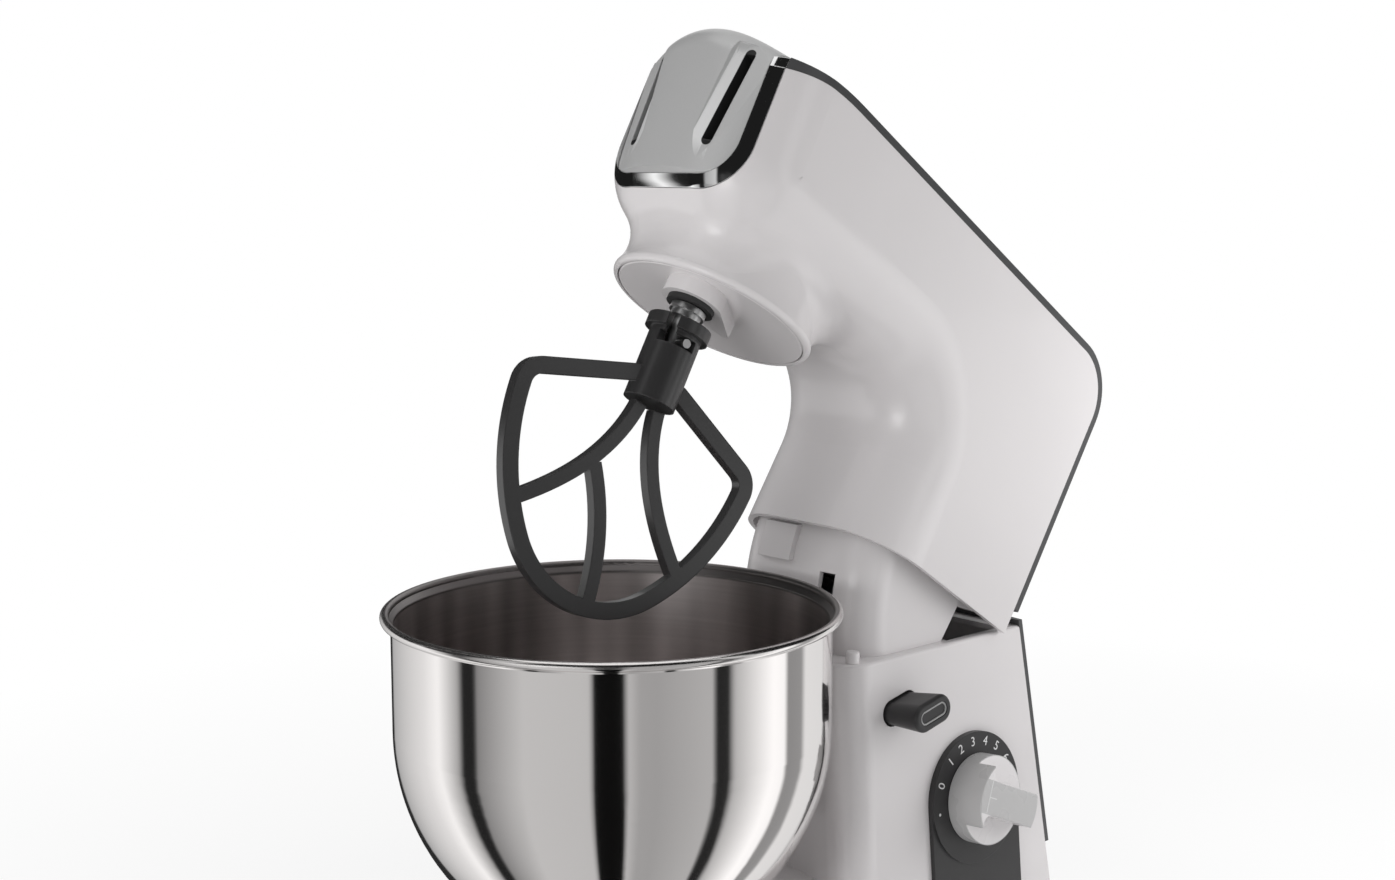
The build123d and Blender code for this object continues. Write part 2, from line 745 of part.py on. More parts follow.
with BuildPart() as base_housing:
    with BuildSketch(base_level(BASE_BOTTOM_Z)):
        tower_plan(BASE_BOTTOM_Z, 0)
    with BuildSketch(base_level(BASE_TOP_Z)):
        tower_plan(BASE_TOP_Z, 0)
    loft(ruled=True)
    with BuildSketch(base_level(BASE_BOTTOM_Z)):
        Circle(base_bowl_r)
    extrude(amount=BASE_TOP_Z, mode=Mode.SUBTRACT)
    fillet(base_housing.edges().filter_by(is_rising).sort_by(Axis.X)[:2], radius=BASE_CORNER_R)
    fillet(base_housing.faces().sort_by(Axis.Z)[-1].edges().sort_by(Axis.X)[:-1], radius=BASE_EDGE_R)
    add(platform.part)
    add(base_cavity.part, mode=Mode.SUBTRACT)
    with BuildSketch(base_level(recess_z)):
        Circle(clamp_r + SEAT_GAP / 2)
    extrude(amount=PLATFORM_Z, mode=Mode.SUBTRACT)
    with BuildSketch(base_level(BASE_TOP_Z)):
        with Locations(((WELL_FRONT + WELL_BACK) / 2, 0)):
            Rectangle(WELL_BACK - WELL_FRONT, 2 * WELL_HALF)
        with Locations((BUTTON_X, -LATCH_Y + BUTTON_TRAVEL / 2)):
            Rectangle(LATCH_W + 2 * BODY_GAP, LATCH_W + BUTTON_TRAVEL + 2 * BODY_GAP)
    extrude(amount=-2 * BASE_WALL, mode=Mode.SUBTRACT)
    with BuildSketch(dial_side(BUTTON_X, BUTTON_Z)):
        SlotOverall(*button_size(BUTTON_TRAVEL, BODY_GAP), rotation=BUTTON_LEAN)
    extrude(amount=3 * BASE_WALL, both=True, mode=Mode.SUBTRACT)
    with BuildSketch(dial_side(DIAL_X, DIAL_Z)):
        Circle(KNOB_SHAFT_R + BODY_GAP)
    extrude(amount=3 * BASE_WALL, both=True, mode=Mode.SUBTRACT)
    with BuildSketch(gland_plane):
        Circle(GLAND_R)
    extrude(amount=3 * BASE_WALL, both=True, mode=Mode.SUBTRACT)

with BuildPart() as base_bottom_plate:
    with BuildSketch(base_level(FOOT_H)):
        add(platform_plan(BASE_WALL + SEAT_GAP))
        tower_plan(FOOT_H + PLATE_T, BASE_WALL + SEAT_GAP)
    extrude(amount=PLATE_T)
    with BuildSketch(base_level(FOOT_H + PLATE_T)):
        with Locations(*BOARD_POSTS):
            Circle(POST_R)
    extrude(amount=POST_H)
    with BuildSketch(base_level(FOOT_H)):
        with Locations((VENT_X, 0)):
            with GridLocations(VENT_PITCH, 0, VENT_COUNT, 1):
                SlotOverall(VENT_L, VENT_W, rotation=QUARTER_TURN)
    extrude(amount=PLATE_T, mode=Mode.SUBTRACT)

with BuildPart() as rubber_feet:
    with BuildSketch(base_level(0)):
        with Locations(*FEET):
            Circle(FOOT_R)
    extrude(amount=FOOT_H, taper=-FOOT_TAPER)

with BuildPart() as bowl_clamp_plate:
    with BuildSketch(base_level(recess_z)):
        Circle(clamp_r)
    extrude(amount=PLATFORM_Z - recess_z)
    with BuildSketch(base_level(clamp_floor_z)):
        Circle(socket_r)
    extrude(amount=PLATFORM_Z, mode=Mode.SUBTRACT)
    with BuildSketch(base_level(PLATFORM_Z - TAB_H)):
        add(ring_sectors(BOWL_FOOT_R + 2 * BODY_GAP, socket_r + 1, TAB_SPAN))
    extrude(amount=TAB_H)

with BuildPart() as base_back_band:
    for z in (BACK_BAND_LOW, BACK_BAND_TOP):
        with BuildSketch(base_level(z)):
            add(lens_section(base_back(z), base_half(z), BACK_BAND_T, BACK_BAND_CROWN))
    loft(ruled=True)
    with BuildSketch(BASE_SIDE):
        with Locations((HINGE_X, HINGE_Z)):
            Circle(swing_r)
    extrude(amount=BASE_TOP_HALF, both=True, mode=Mode.SUBTRACT)

with BuildPart() as control_board:
    with BuildSketch(base_level(board_z)):
        with Locations((BOARD_X, BOARD_Y)):
            Rectangle(BOARD_L, BOARD_W)
    extrude(amount=BOARD_T)
    with BuildSketch(base_level(board_z + BOARD_T)):
        with Locations((BOARD_X - BOARD_L / 4, BOARD_Y)):
            Rectangle(BOARD_L / 4, BOARD_W / 2)
    extrude(amount=BOARD_PARTS_H)
    with BuildSketch(base_level(board_z + BOARD_T)):
        with Locations((BOARD_X + BOARD_L / 5, BOARD_Y)):
            with GridLocations(BOARD_L / 5, BOARD_W / 3, 2, 2):
                Circle(BOARD_W / 10)
    extrude(amount=BOARD_PARTS_H * 0.8)

with BuildPart() as cord_gland:
    with BuildSketch(gland_plane):
        Circle(GLAND_R + GLAND_FLANGE)
    extrude(amount=GLAND_FLANGE)
    with BuildSketch(gland_plane):
        Circle(GLAND_R - SEAT_GAP / 2)
    extrude(amount=-2 * BASE_WALL)
    fillet(cord_gland.edges().sort_by(Axis.X)[-1:], radius=GLAND_FLANGE / 2)
    with BuildSketch(gland_plane):
        Circle(CORD_R)
    extrude(amount=4 * BASE_WALL, both=True, mode=Mode.SUBTRACT)

# Neck: the hollow column that carries the hinge and slides up inside the head
with BuildPart() as ears:
    with BuildSketch(BASE_SIDE):
        with Locations((HINGE_X, HINGE_Z)):
            Circle(EAR_R)
        with Locations((NECK_SLOPE_X - EAR_R, NECK_SLOPE_Z + 1.5 * EAR_R)):
            Circle(EAR_R)
        make_hull()
    extrude(amount=EAR_HALF, both=True)
    with BuildSketch(BASE_SIDE):
        with Locations((HINGE_X, HINGE_Z)):
            Rectangle(4 * HINGE_X, 8 * EAR_R)
    extrude(amount=EAR_HALF - EAR_T, both=True, mode=Mode.SUBTRACT)

with BuildPart() as tilt_neck:
    with BuildSketch(BASE_SIDE):
        add(neck_profile(0))
    extrude(amount=NECK_HALF, both=True)
    fillet(tilt_neck.edges().filter_by(is_neck_front), radius=NECK_EDGE_R)
    with BuildSketch(BASE_SIDE):
        add(neck_profile(NECK_WALL))
    extrude(amount=NECK_HALF - NECK_WALL - NECK_EDGE_R / 3, both=True, mode=Mode.SUBTRACT)
    with BuildSketch(BASE_SIDE.offset(-NECK_STEP_Y)):
        with Locations((HINGE_X, HINGE_Z)):
            Circle(NECK_STEP_R)
        with Locations((HINGE_X - NECK_FRONT_R, (NECK_STEP_LOW + step_top) / 2)):
            Rectangle(2 * step_reach, step_top - NECK_STEP_LOW, mode=Mode.INTERSECT)
    extrude(amount=NECK_STEP_W / 2, both=True)
    add(ears.part)
    with BuildSketch(BASE_SIDE):
        with Locations((HINGE_X, HINGE_Z)):
            Circle(HINGE_PIN_R + RUN_FIT)
    extrude(amount=HEAD_HALF, both=True, mode=Mode.SUBTRACT)
    with BuildSketch(neck_face):
        with Locations((-LATCH_Y, WINDOW_Z)):
            Rectangle(WINDOW_W, WINDOW_H)
    extrude(amount=2 * NECK_EDGE_R, both=True, mode=Mode.SUBTRACT)

with BuildPart() as hinge_pin:
    with BuildSketch(BASE_SIDE):
        with Locations((HINGE_X, HINGE_Z)):
            Circle(HINGE_PIN_R)
    extrude(amount=HEAD_HALF - HEAD_WALL, both=True)

with BuildPart() as stop_pegs:
    with BuildSketch(base_level(BASE_TOP_Z)):
        with Locations((PEG_X, -PEG_Y), (PEG_X, PEG_Y)):
            Circle(PEG_R)
    extrude(amount=PEG_H)
    fillet(stop_pegs.faces().filter_by(Axis.Z).group_by(Axis.Z)[-1].edges(), radius=PEG_R / 3)

# Release button with the latch bar that it pushes
with BuildPart() as release_button:
    with BuildSketch(dial_side(BUTTON_X, BUTTON_Z, -BUTTON_FLOOR)):
        SlotOverall(*button_size(-BUTTON_FLOOR), rotation=BUTTON_LEAN)
    extrude(amount=BUTTON_OUT + BUTTON_FLOOR, taper=-BUTTON_TAPER)
    outer_face = release_button.faces().sort_by(Axis.Y)[0]
    fillet(outer_face.edges(), radius=BUTTON_EDGE_R)
    with BuildSketch(dial_side(BUTTON_X, BUTTON_Z, BUTTON_OUT)):
        SlotOverall(BUTTON_L - BUTTON_W / 2, BUTTON_W / 2, rotation=BUTTON_LEAN)
    extrude(amount=-BUTTON_EDGE_R / 2, mode=Mode.SUBTRACT)
    with BuildSketch(dial_side(BUTTON_X, BUTTON_Z, -BUTTON_FLOOR)):
        Circle(STEM_R)
    extrude(amount=-STEM_L)

# Speed dial
with BuildPart() as dial_bezel:
    with BuildSketch(dial_side(DIAL_X, DIAL_Z)):
        Circle(BEZEL_R)
        with Locations((0, -BEZEL_LOW / 2)):
            Rectangle(2 * BEZEL_R, BEZEL_LOW)
    extrude(amount=BEZEL_T)
    with BuildSketch(dial_side(DIAL_X, DIAL_Z, BEZEL_T)):
        Circle(BEZEL_R)
    extrude(amount=BEZEL_STEP)
    with BuildSketch(dial_side(DIAL_X, DIAL_Z)):
        Circle(KNOB_SHAFT_R + BODY_GAP)
    extrude(amount=4 * BEZEL_T, mode=Mode.SUBTRACT)

with BuildPart() as speed_knob:
    with BuildSketch(dial_side(DIAL_X, DIAL_Z, knob_seat)):
        Circle(KNOB_R)
    extrude(amount=GRIP_H)
    with BuildSketch(dial_side(DIAL_X, DIAL_Z, knob_seat + KNOB_T)):
        for side in (1, -1):
            with Locations(Location((0, 0), ZERO_ANGLE)):
                with Locations((-GRIP_END, side * (GRIP_W / 2 + KNOB_R))):
                    RectangleRounded(2 * KNOB_R, 2 * KNOB_R, GRIP_CORNER_R)
    extrude(amount=GRIP_H, mode=Mode.SUBTRACT)
    fillet(speed_knob.faces().sort_by(Axis.Y)[0].edges(), radius=KNOB_EDGE_R)
    with BuildSketch(dial_side(DIAL_X, DIAL_Z, knob_seat)):
        Circle(KNOB_SHAFT_R)
    extrude(amount=-KNOB_SHAFT_L)

with BuildPart() as speed_switch:
    with BuildSketch(dial_side(DIAL_X, DIAL_Z, -BASE_WALL - SEAT_GAP)):
        Rectangle(SWITCH_SIZE, SWITCH_SIZE)
    extrude(amount=-SWITCH_DEPTH)
    with BuildSketch(dial_side(DIAL_X, DIAL_Z)):
        Circle(KNOB_SHAFT_R + RUN_FIT)
    extrude(amount=-KNOB_SHAFT_L - BODY_GAP + knob_seat, mode=Mode.SUBTRACT)

with BuildPart() as latch_slider:
    with BuildSketch(dial_side(BUTTON_X, BUTTON_Z, -BUTTON_FLOOR - STEM_L)):
        Rectangle(LATCH_W, LATCH_BAR_H)
    extrude(amount=-latch_reach)
    with BuildSketch(base_level(latch_low_z)):
        with Locations((BUTTON_X, -LATCH_Y)):
            Rectangle(LATCH_W, LATCH_W)
    extrude(amount=LATCH_TOP - latch_low_z)

with BuildPart() as base_screws:
    with BuildSketch(base_level(FOOT_H)):
        with Locations(*BASE_SCREWS):
            Circle(SCREW_HEAD_R)
    extrude(amount=-SCREW_HEAD_H)

# Head: a moulded arm and column that is open on top, its cover band and its nose
with BuildPart() as head_form:
    with BuildSketch(HEAD_SIDE):
        with BuildLine():
            Polyline(nose_top, (NOSE_LOW_X, UNDERSIDE_Z), (arm_x, UNDERSIDE_Z))
            CenterArc((arm_x, arm_z), ARM_INNER_R, 0, QUARTER_TURN)
            Polyline((COLUMN_FRONT, arm_z), (COLUMN_FRONT, SKIRT_Z), (HEAD_BACK, SKIRT_Z), back_bend)
            TangentArc(back_bend, top_bend, tangent=(0, 1))
            Line(top_bend, nose_bend)
            TangentArc(nose_bend, nose_top, tangent=top_tangent)
        make_face()
    extrude(amount=HEAD_HALF, both=True)
    fillet(head_form.edges().filter_by(is_head_edge), radius=HEAD_EDGE_R)

with BuildPart() as head_cavity:
    with BuildSketch(HEAD_SIDE):
        with BuildLine():
            arm = CenterArc((arm_x, arm_z), ARM_INNER_R + HEAD_WALL, 0, QUARTER_TURN)
            Polyline(
                arm @ 1,
                (CAVITY_FRONT, UNDERSIDE_Z + HEAD_WALL),
                (CAVITY_FRONT, crest_z + HEAD_WALL),
                (HEAD_BACK - HEAD_WALL, crest_z + HEAD_WALL),
                (HEAD_BACK - HEAD_WALL, SKIRT_Z - HEAD_WALL),
                (COLUMN_FRONT + HEAD_WALL, SKIRT_Z - HEAD_WALL),
                arm @ 0,
            )
        make_face()
    extrude(amount=HEAD_HALF - HEAD_WALL, both=True)
    fillet(head_cavity.edges().filter_by(is_cavity_edge), radius=HEAD_EDGE_R - HEAD_WALL)

with BuildPart() as crown:
    with BuildSketch(head_level(BAND_END_Z)):
        add(lens_section(HEAD_BACK, HEAD_HALF, BAND_EDGE, BAND_CROWN))
    sweep(path=crown_path)
    with BuildSketch(head_level(0)):
        add(head_plan())
    extrude(amount=2 * HEAD_TOP, mode=Mode.INTERSECT)

with BuildPart() as nose_block:
    add(head_form.part)
    add(crown.part)
    with BuildSketch(HEAD_SIDE):
        with Locations((NOSE_TOP_X, nose_peak)):
            Rectangle(2 * TRIM_END_R, 2 * TRIM_END_R)
        with Locations((NOSE_TOP_X + TRIM_END_R, nose_peak - TRIM_END_R)):
            Circle(TRIM_END_R, mode=Mode.SUBTRACT)
    extrude(amount=HEAD_HALF, both=True, mode=Mode.SUBTRACT)

# The cap's plan bulges forward and its top is arched; the scoops beside its middle hold the finger slots
with BuildPart() as cap_plan:
    for z, front in ((CAP_LOW_Z, CAP_LOW_X), (CAP_PEAK_Z, CAP_TOP_X)):
        with BuildSketch(head_level(z)):
            with BuildLine():
                ThreePointArc((front + CAP_BULGE, -cap_half), (front, 0), (front + CAP_BULGE, cap_half))
                Polyline(
                    (front + CAP_BULGE, cap_half),
                    (TRIM_BACK, cap_half),
                    (TRIM_BACK, -cap_half),
                    (front + CAP_BULGE, -cap_half),
                )
            make_face()
    loft(ruled=True)

with BuildPart() as scoops:
    for side in (1, -1):
        low_end = (CAP_LOW_Z, SCOOP_LOW_Y, slot_low_edge, 0)
        top_end = (SCOOP_TOP_Z, SCOOP_TOP_Y, slot_top_edge, SCOOP_LEAN)
        for z, start, foot, lean in (low_end, top_end):
            with BuildSketch(head_level(z)):
                with BuildLine():
                    Polyline(
                        (TRIM_BACK - cap_depth, side * start),
                        (CAP_LOW_X - lean, side * start),
                        (PANEL_X - lean, side * foot),
                        (PANEL_X - lean + PANEL_FALL, side * TRIM_HALF),
                        (TRIM_BACK - cap_depth, side * TRIM_HALF),
                        close=True,
                    )
                make_face()
        loft(ruled=True)

with BuildPart() as nose_cap:
    with BuildSketch(head_front(TRIM_BACK)):
        add(cap_outline(CAP_BACK_Z, CAP_BACK_ARCH))
    with BuildSketch(head_front(TRIM_BACK - cap_depth)):
        add(cap_outline(CAP_PEAK_Z, CAP_ARCH))
    loft(ruled=True)
    add(cap_plan.part, mode=Mode.INTERSECT)
    fillet(nose_cap.edges().filter_by(is_cap_brow), radius=CAP_EDGE_R)
    add(scoops.part, mode=Mode.SUBTRACT)
    with BuildSketch(head_front(PANEL_X + GRIP_SLOT_DEPTH)):
        for side in (1, -1):
            with BuildLine():
                Polyline(
                    (side * slot_low_edge, GRIP_SLOT_LOW),
                    (side * (slot_low_edge + GRIP_SLOT_W), GRIP_SLOT_LOW),
                    (side * (slot_top_edge + GRIP_SLOT_W), GRIP_SLOT_TOP),
                    (side * slot_top_edge, GRIP_SLOT_TOP),
                    close=True,
                )
            make_face()
    extrude(amount=-cap_depth, mode=Mode.SUBTRACT)

with BuildPart() as nose_trim:
    with BuildSketch(head_front(TRIM_BACK)):
        add(nose_outline(0))
        add(nose_outline(TRIM_W), mode=Mode.SUBTRACT)
    extrude(amount=-cap_depth)
    add(nose_block.part, mode=Mode.INTERSECT)

with BuildPart() as head_cover_band:
    add(crown.part)
    with BuildSketch(head_front(TRIM_BACK)):
        add(nose_outline(-CAP_GAP))
    extrude(amount=-2 * cap_depth, mode=Mode.SUBTRACT)

with BuildPart() as head_housing:
    add(head_form.part)
    with BuildSketch(HEAD_SIDE):
        with BuildLine():
            bell_low = (CARRIER_X + COLLAR_R, DISC_Z + 2 * COLLAR_EDGE_R)
            bell_end = (CARRIER_X + COLLAR_R - COLLAR_EDGE_R, DISC_Z)
            bell_neck = (CARRIER_X + COLLAR_NECK_R, COLLAR_NECK_Z)
            bell_top = (CARRIER_X + COLLAR_NECK_R, BORE_TOP_Z)
            TangentArc(bell_neck, bell_low, tangent=(0, -1))
            TangentArc(bell_end, bell_low, tangent=(1, 0))
            Polyline(bell_end, (CARRIER_X, DISC_Z), (CARRIER_X, BORE_TOP_Z), bell_top, bell_neck)
        make_face()
    revolve(axis=CARRIER_AXIS)
    fillet(head_housing.edges().filter_by(is_collar_crease), radius=COLLAR_BLEND_R)
    add(head_cavity.part, mode=Mode.SUBTRACT)
    with BuildSketch(head_level(DISC_Z)):
        with Locations((CARRIER_X, 0)):
            Circle(DISC_R + BODY_GAP)
    extrude(amount=DISC_T + BODY_GAP, mode=Mode.SUBTRACT)
    with BuildSketch(head_level(DISC_Z)):
        with Locations((CARRIER_X, 0)):
            Circle(RING_R + SEAT_GAP)
    extrude(amount=BORE_TOP_Z - DISC_Z, mode=Mode.SUBTRACT)
    with BuildSketch(head_front(TRIM_BACK + CAP_GAP)):
        add(nose_outline(-CAP_GAP))
    extrude(amount=-cap_depth, mode=Mode.SUBTRACT)
    with BuildSketch(head_level(SKIRT_Z)):
        with Locations((HEAD_BACK, 0)):
            Rectangle(3 * HEAD_WALL, 2 * (HEAD_HALF - HEAD_WALL))
    extrude(amount=BACK_WALL_Z - SKIRT_Z, mode=Mode.SUBTRACT)
    with BuildSketch(head_level(SKIRT_Z)):
        with Locations((HEAD_BACK, 0)):
            Rectangle(3 * HEAD_WALL, 2 * BACK_CUT_HALF)
    extrude(amount=BACK_CUT_Z - SKIRT_Z, mode=Mode.SUBTRACT)
    for side in (1, -1):
        with BuildSketch(HEAD_SIDE.offset(side * (EAR_HALF + BODY_GAP))):
            with Locations((HINGE_X, HINGE_Z)):
                Circle(HINGE_BOSS_R)
        extrude(amount=side * (HEAD_HALF - HEAD_WALL / 2 - EAR_HALF - BODY_GAP))
    with BuildSketch(HEAD_SIDE):
        with Locations((HINGE_X, HINGE_Z)):
            Circle(HINGE_PIN_R + RUN_FIT)
    extrude(amount=HEAD_HALF - HEAD_WALL + BODY_GAP, both=True, mode=Mode.SUBTRACT)
    with BuildSketch(head_level(BRACKET_Z)):
        with Locations(((BRACKET_FRONT + BRACKET_BACK) / 2, 0)):
            with GridLocations(ledge_pitch, 2 * HEAD_HALF - LEDGE_W - HEAD_WALL, 2, 2):
                Rectangle(LEDGE_L, LEDGE_W)
    extrude(amount=-LEDGE_H)

# Planetary drive below the gear plate
with BuildPart() as ring_gear:
    with BuildSketch(head_level(RING_BOTTOM_Z, CARRIER_X)):
        Circle(RING_R)
        with BuildLine():
            Polyline(*ring_gaps, close=True)
        make_face(mode=Mode.SUBTRACT)
    extrude(amount=RING_TOP_Z - RING_BOTTOM_Z)

with BuildPart() as gear_plate:
    with BuildSketch(head_level(RING_TOP_Z, CARRIER_X)):
        Circle(RING_R)
        Circle(CARRIER_SHAFT_R + BUSH_WALL + RUN_FIT, mode=Mode.SUBTRACT)
        with Locations((stage_offset, 0)):
            Circle(AXLE_R + RUN_FIT, mode=Mode.SUBTRACT)
        with PolarLocations(SCREW_CIRCLE_R, 4, start_angle=QUARTER_TURN / 2):
            Circle(SCREW_R + RUN_FIT, mode=Mode.SUBTRACT)
    extrude(amount=GEAR_PLATE_T)

with BuildPart() as carrier_bush:
    with BuildSketch(head_level(RING_TOP_Z, CARRIER_X)):
        Circle(CARRIER_SHAFT_R + BUSH_WALL)
        Circle(CARRIER_SHAFT_R + RUN_FIT, mode=Mode.SUBTRACT)
    extrude(amount=GEAR_PLATE_T)

with BuildPart() as gearbox_screws:
    with BuildSketch(head_level(plate_top, CARRIER_X)):
        with PolarLocations(SCREW_CIRCLE_R, 4, start_angle=QUARTER_TURN / 2):
            Circle(SCREW_HEAD_R - SEAT_GAP)
    extrude(amount=SCREW_HEAD_H)
    with BuildSketch(head_level(plate_top, CARRIER_X)):
        with PolarLocations(SCREW_CIRCLE_R, 4, start_angle=QUARTER_TURN / 2):
            Circle(SCREW_R)
    extrude(amount=-GEAR_PLATE_T)

with BuildPart() as pulley_axle:
    with BuildSketch(head_level(RING_TOP_Z, CARRIER_X + stage_offset)):
        Circle(AXLE_R)
    extrude(amount=PULLEY_BOTTOM_Z + PULLEY_H + BUSH_WALL - RING_TOP_Z)

with BuildPart() as planet_carrier:
    with BuildSketch(head_level(DISC_Z, CARRIER_X)):
        Circle(DISC_R)
    extrude(amount=DISC_T)
    fillet(planet_carrier.edges().sort_by(Axis(raised(0, 0, 0), HEAD_UP))[:1], radius=COLLAR_EDGE_R / 2)
    with BuildSketch(head_level(DISC_Z, CARRIER_X)):
        with Locations(Location((0, 0), TOOL_ANGLE)):
            with Locations((TOOL_OFFSET, 0)):
                Circle(BOSS_R)
            with Locations((-BOSS_TAIL_R, BOSS_TAIL)):
                Circle(BOSS_TAIL_R)
        make_hull()
    extrude(amount=-BOSS_DROP)
    with BuildSketch(head_level(DISC_Z + DISC_T, CARRIER_X)):
        Circle(CARRIER_HUB_R)
    extrude(amount=RING_TOP_Z - BODY_GAP - DISC_Z - DISC_T)
    with BuildSketch(head_level(DISC_Z, CARRIER_X)):
        Circle(CARRIER_SHAFT_R)
    extrude(amount=carrier_gear_z + GEAR_FACE + BODY_GAP - DISC_Z)
    with BuildSketch(head_level(DISC_Z - BOSS_DROP, tool_x, tool_y)):
        Circle(SHAFT_R + BUSH_WALL + RUN_FIT)
    extrude(amount=DISC_T + BOSS_DROP, mode=Mode.SUBTRACT)

with BuildPart() as tool_bush:
    with BuildSketch(head_level(DISC_Z - BOSS_DROP, tool_x, tool_y)):
        Circle(SHAFT_R + BUSH_WALL)
        Circle(SHAFT_R + RUN_FIT, mode=Mode.SUBTRACT)
    extrude(amount=DISC_T + BOSS_DROP)

with BuildPart() as shaft_seal:
    with BuildSketch(head_level(DISC_Z - BOSS_DROP, tool_x, tool_y)):
        Circle(SEAL_R)
        Circle(SHAFT_R + SEAT_GAP, mode=Mode.SUBTRACT)
    extrude(amount=-SEAL_H)

with BuildPart() as carrier_gear:
    with BuildSketch(head_level(carrier_gear_z, CARRIER_X)):
        with BuildLine():
            Polyline(*carrier_gear_points, close=True)
        make_face()
        Circle(CARRIER_SHAFT_R + RUN_FIT, mode=Mode.SUBTRACT)
    extrude(amount=GEAR_FACE)

with BuildPart() as planet_pinion:
    with BuildSketch(head_level(planet_z, tool_x, tool_y)):
        with BuildLine():
            Polyline(*planet_points, close=True)
        make_face()
        Circle(SHAFT_R + RUN_FIT, mode=Mode.SUBTRACT)
    extrude(amount=RING_TOP_Z - RING_BOTTOM_Z - 3 * BODY_GAP)

# Tool shaft and the flat beater that hangs from its cross pin
with BuildPart() as tool_shaft:
    with BuildSketch(head_level(SHAFT_END_Z, tool_x, tool_y)):
        Circle(SHAFT_R)
    extrude(amount=RING_TOP_Z - BODY_GAP - SHAFT_END_Z)
    fillet(tool_shaft.edges().sort_by(Axis(raised(0, 0, 0), HEAD_UP))[:1], radius=SHAFT_R / 5)
    with BuildSketch(beater_plane):
        Circle(PIN_R + RUN_FIT)
    extrude(amount=HUB_R, both=True, mode=Mode.SUBTRACT)

with BuildPart() as shaft_collar:
    with BuildSketch(head_level(DISC_Z - BOSS_DROP - SEAL_H - BODY_GAP, tool_x, tool_y)):
        Circle(RING_R1)
    extrude(amount=-RING_H)
    with BuildSketch(head_level(DISC_Z - BOSS_DROP - SEAL_H - BODY_GAP - RING_H, tool_x, tool_y)):
        Circle(RING_R2)
    extrude(amount=-RING_H)
    with BuildSketch(head_level(DISC_Z, tool_x, tool_y)):
        Circle(SHAFT_R + RUN_FIT)
    extrude(amount=-DISC_Z / 2, mode=Mode.SUBTRACT)

with BuildPart() as cross_pin:
    with BuildSketch(beater_plane):
        Circle(PIN_R)
    extrude(amount=HUB_R + BODY_GAP, both=True)

with BuildPart() as flat_beater:
    with BuildSketch(beater_plane):
        with BuildLine() as loop_line:
            low = ThreePointArc((-LOOP_LOW_U, LOOP_LOW_V), (0, LOOP_BOTTOM_V), (LOOP_LOW_U, LOOP_LOW_V))
            TangentArc(low @ 1, (LOOP_HALF, LOOP_SHOULDER_V), tangent=low % 1)
            TangentArc(low @ 0, (-LOOP_HALF, LOOP_SHOULDER_V), tangent=(low % 0) * -1)
            Polyline(
                (LOOP_HALF, LOOP_SHOULDER_V),
                (HUB_R, LOOP_ARM_V),
                (-HUB_R, LOOP_ARM_V),
                (-LOOP_HALF, LOOP_SHOULDER_V),
            )
            fillet(loop_line.vertices().filter_by(is_shoulder), radius=LOOP_CORNER_R)
        outline = make_face()
        offset(outline, amount=BAR_W / 2, mode=Mode.REPLACE)
        offset(outline, amount=-BAR_W / 2, mode=Mode.SUBTRACT)
        for side in (1, -1):
            with BuildLine():
                Spline(*[(side * u, v) for u, v in RIB_POINTS])
            trace(line_width=RIB_W)
        with BuildLine():
            ThreePointArc(*CROSS_RIB)
        trace(line_width=RIB_W)
    extrude(amount=BAR_T / 2, both=True)
    with BuildSketch(beater_level(HUB_LOW)):
        Circle(HUB_R)
    extrude(amount=HUB_TOP - HUB_LOW)
    with BuildSketch(beater_level(HUB_TOP - HUB_FLANGE_H)):
        Circle(HUB_FLANGE_R)
    extrude(amount=HUB_FLANGE_H)
    with BuildSketch(beater_level(HUB_LOW + BAR_W)):
        Circle(HUB_BORE_R)
    extrude(amount=HUB_TOP - HUB_LOW, mode=Mode.SUBTRACT)
    with BuildSketch(beater_level(-PIN_R - BODY_GAP)):
        add(pin_slot())
    extrude(amount=2 * PIN_R + 2 * BODY_GAP, mode=Mode.SUBTRACT)
    with BuildSketch(beater_level(-PIN_R - BODY_GAP)):
        with Locations(Location((0, 0), QUARTER_TURN - SLOT_TURN)):
            Rectangle(4 * HUB_R, 2 * PIN_R + 2 * BODY_GAP)
    extrude(amount=HUB_TOP + 2 * PIN_R, mode=Mode.SUBTRACT)

# Belt stage and motor
with BuildPart() as pulley_gear:
    with BuildSketch(head_level(carrier_gear_z - BODY_GAP, CARRIER_X + stage_offset)):
        with BuildLine():
            Polyline(*pinion_points, close=True)
        make_face()
    extrude(amount=PULLEY_BOTTOM_Z - carrier_gear_z + BODY_GAP)
    with BuildSketch(head_level(PULLEY_BOTTOM_Z, CARRIER_X + stage_offset)):
        Circle(PULLEY_R)
    extrude(amount=PULLEY_H)
    for z in (PULLEY_BOTTOM_Z, PULLEY_BOTTOM_Z + PULLEY_H - PULLEY_FLANGE):
        with BuildSketch(head_level(z, CARRIER_X + stage_offset)):
            Circle(PULLEY_R + PULLEY_FLANGE)
        extrude(amount=PULLEY_FLANGE)
    with BuildSketch(head_level(PULLEY_BOTTOM_Z + PULLEY_FLANGE, CARRIER_X + stage_offset)):
        Circle(PULLEY_R - 2 * PULLEY_FLANGE)
        Circle(CARRIER_HUB_R, mode=Mode.SUBTRACT)
    extrude(amount=PULLEY_H, mode=Mode.SUBTRACT)
    with BuildSketch(head_level(UNDERSIDE_Z, CARRIER_X + stage_offset)):
        Circle(AXLE_R + RUN_FIT)
    extrude(amount=HEAD_TOP - UNDERSIDE_Z, mode=Mode.SUBTRACT)

with BuildPart() as drive_belt:
    with BuildSketch(head_level(belt_z)):
        add(belt_loop(SEAT_GAP + BELT_T))
        add(belt_loop(SEAT_GAP), mode=Mode.SUBTRACT)
    extrude(amount=BELT_H)

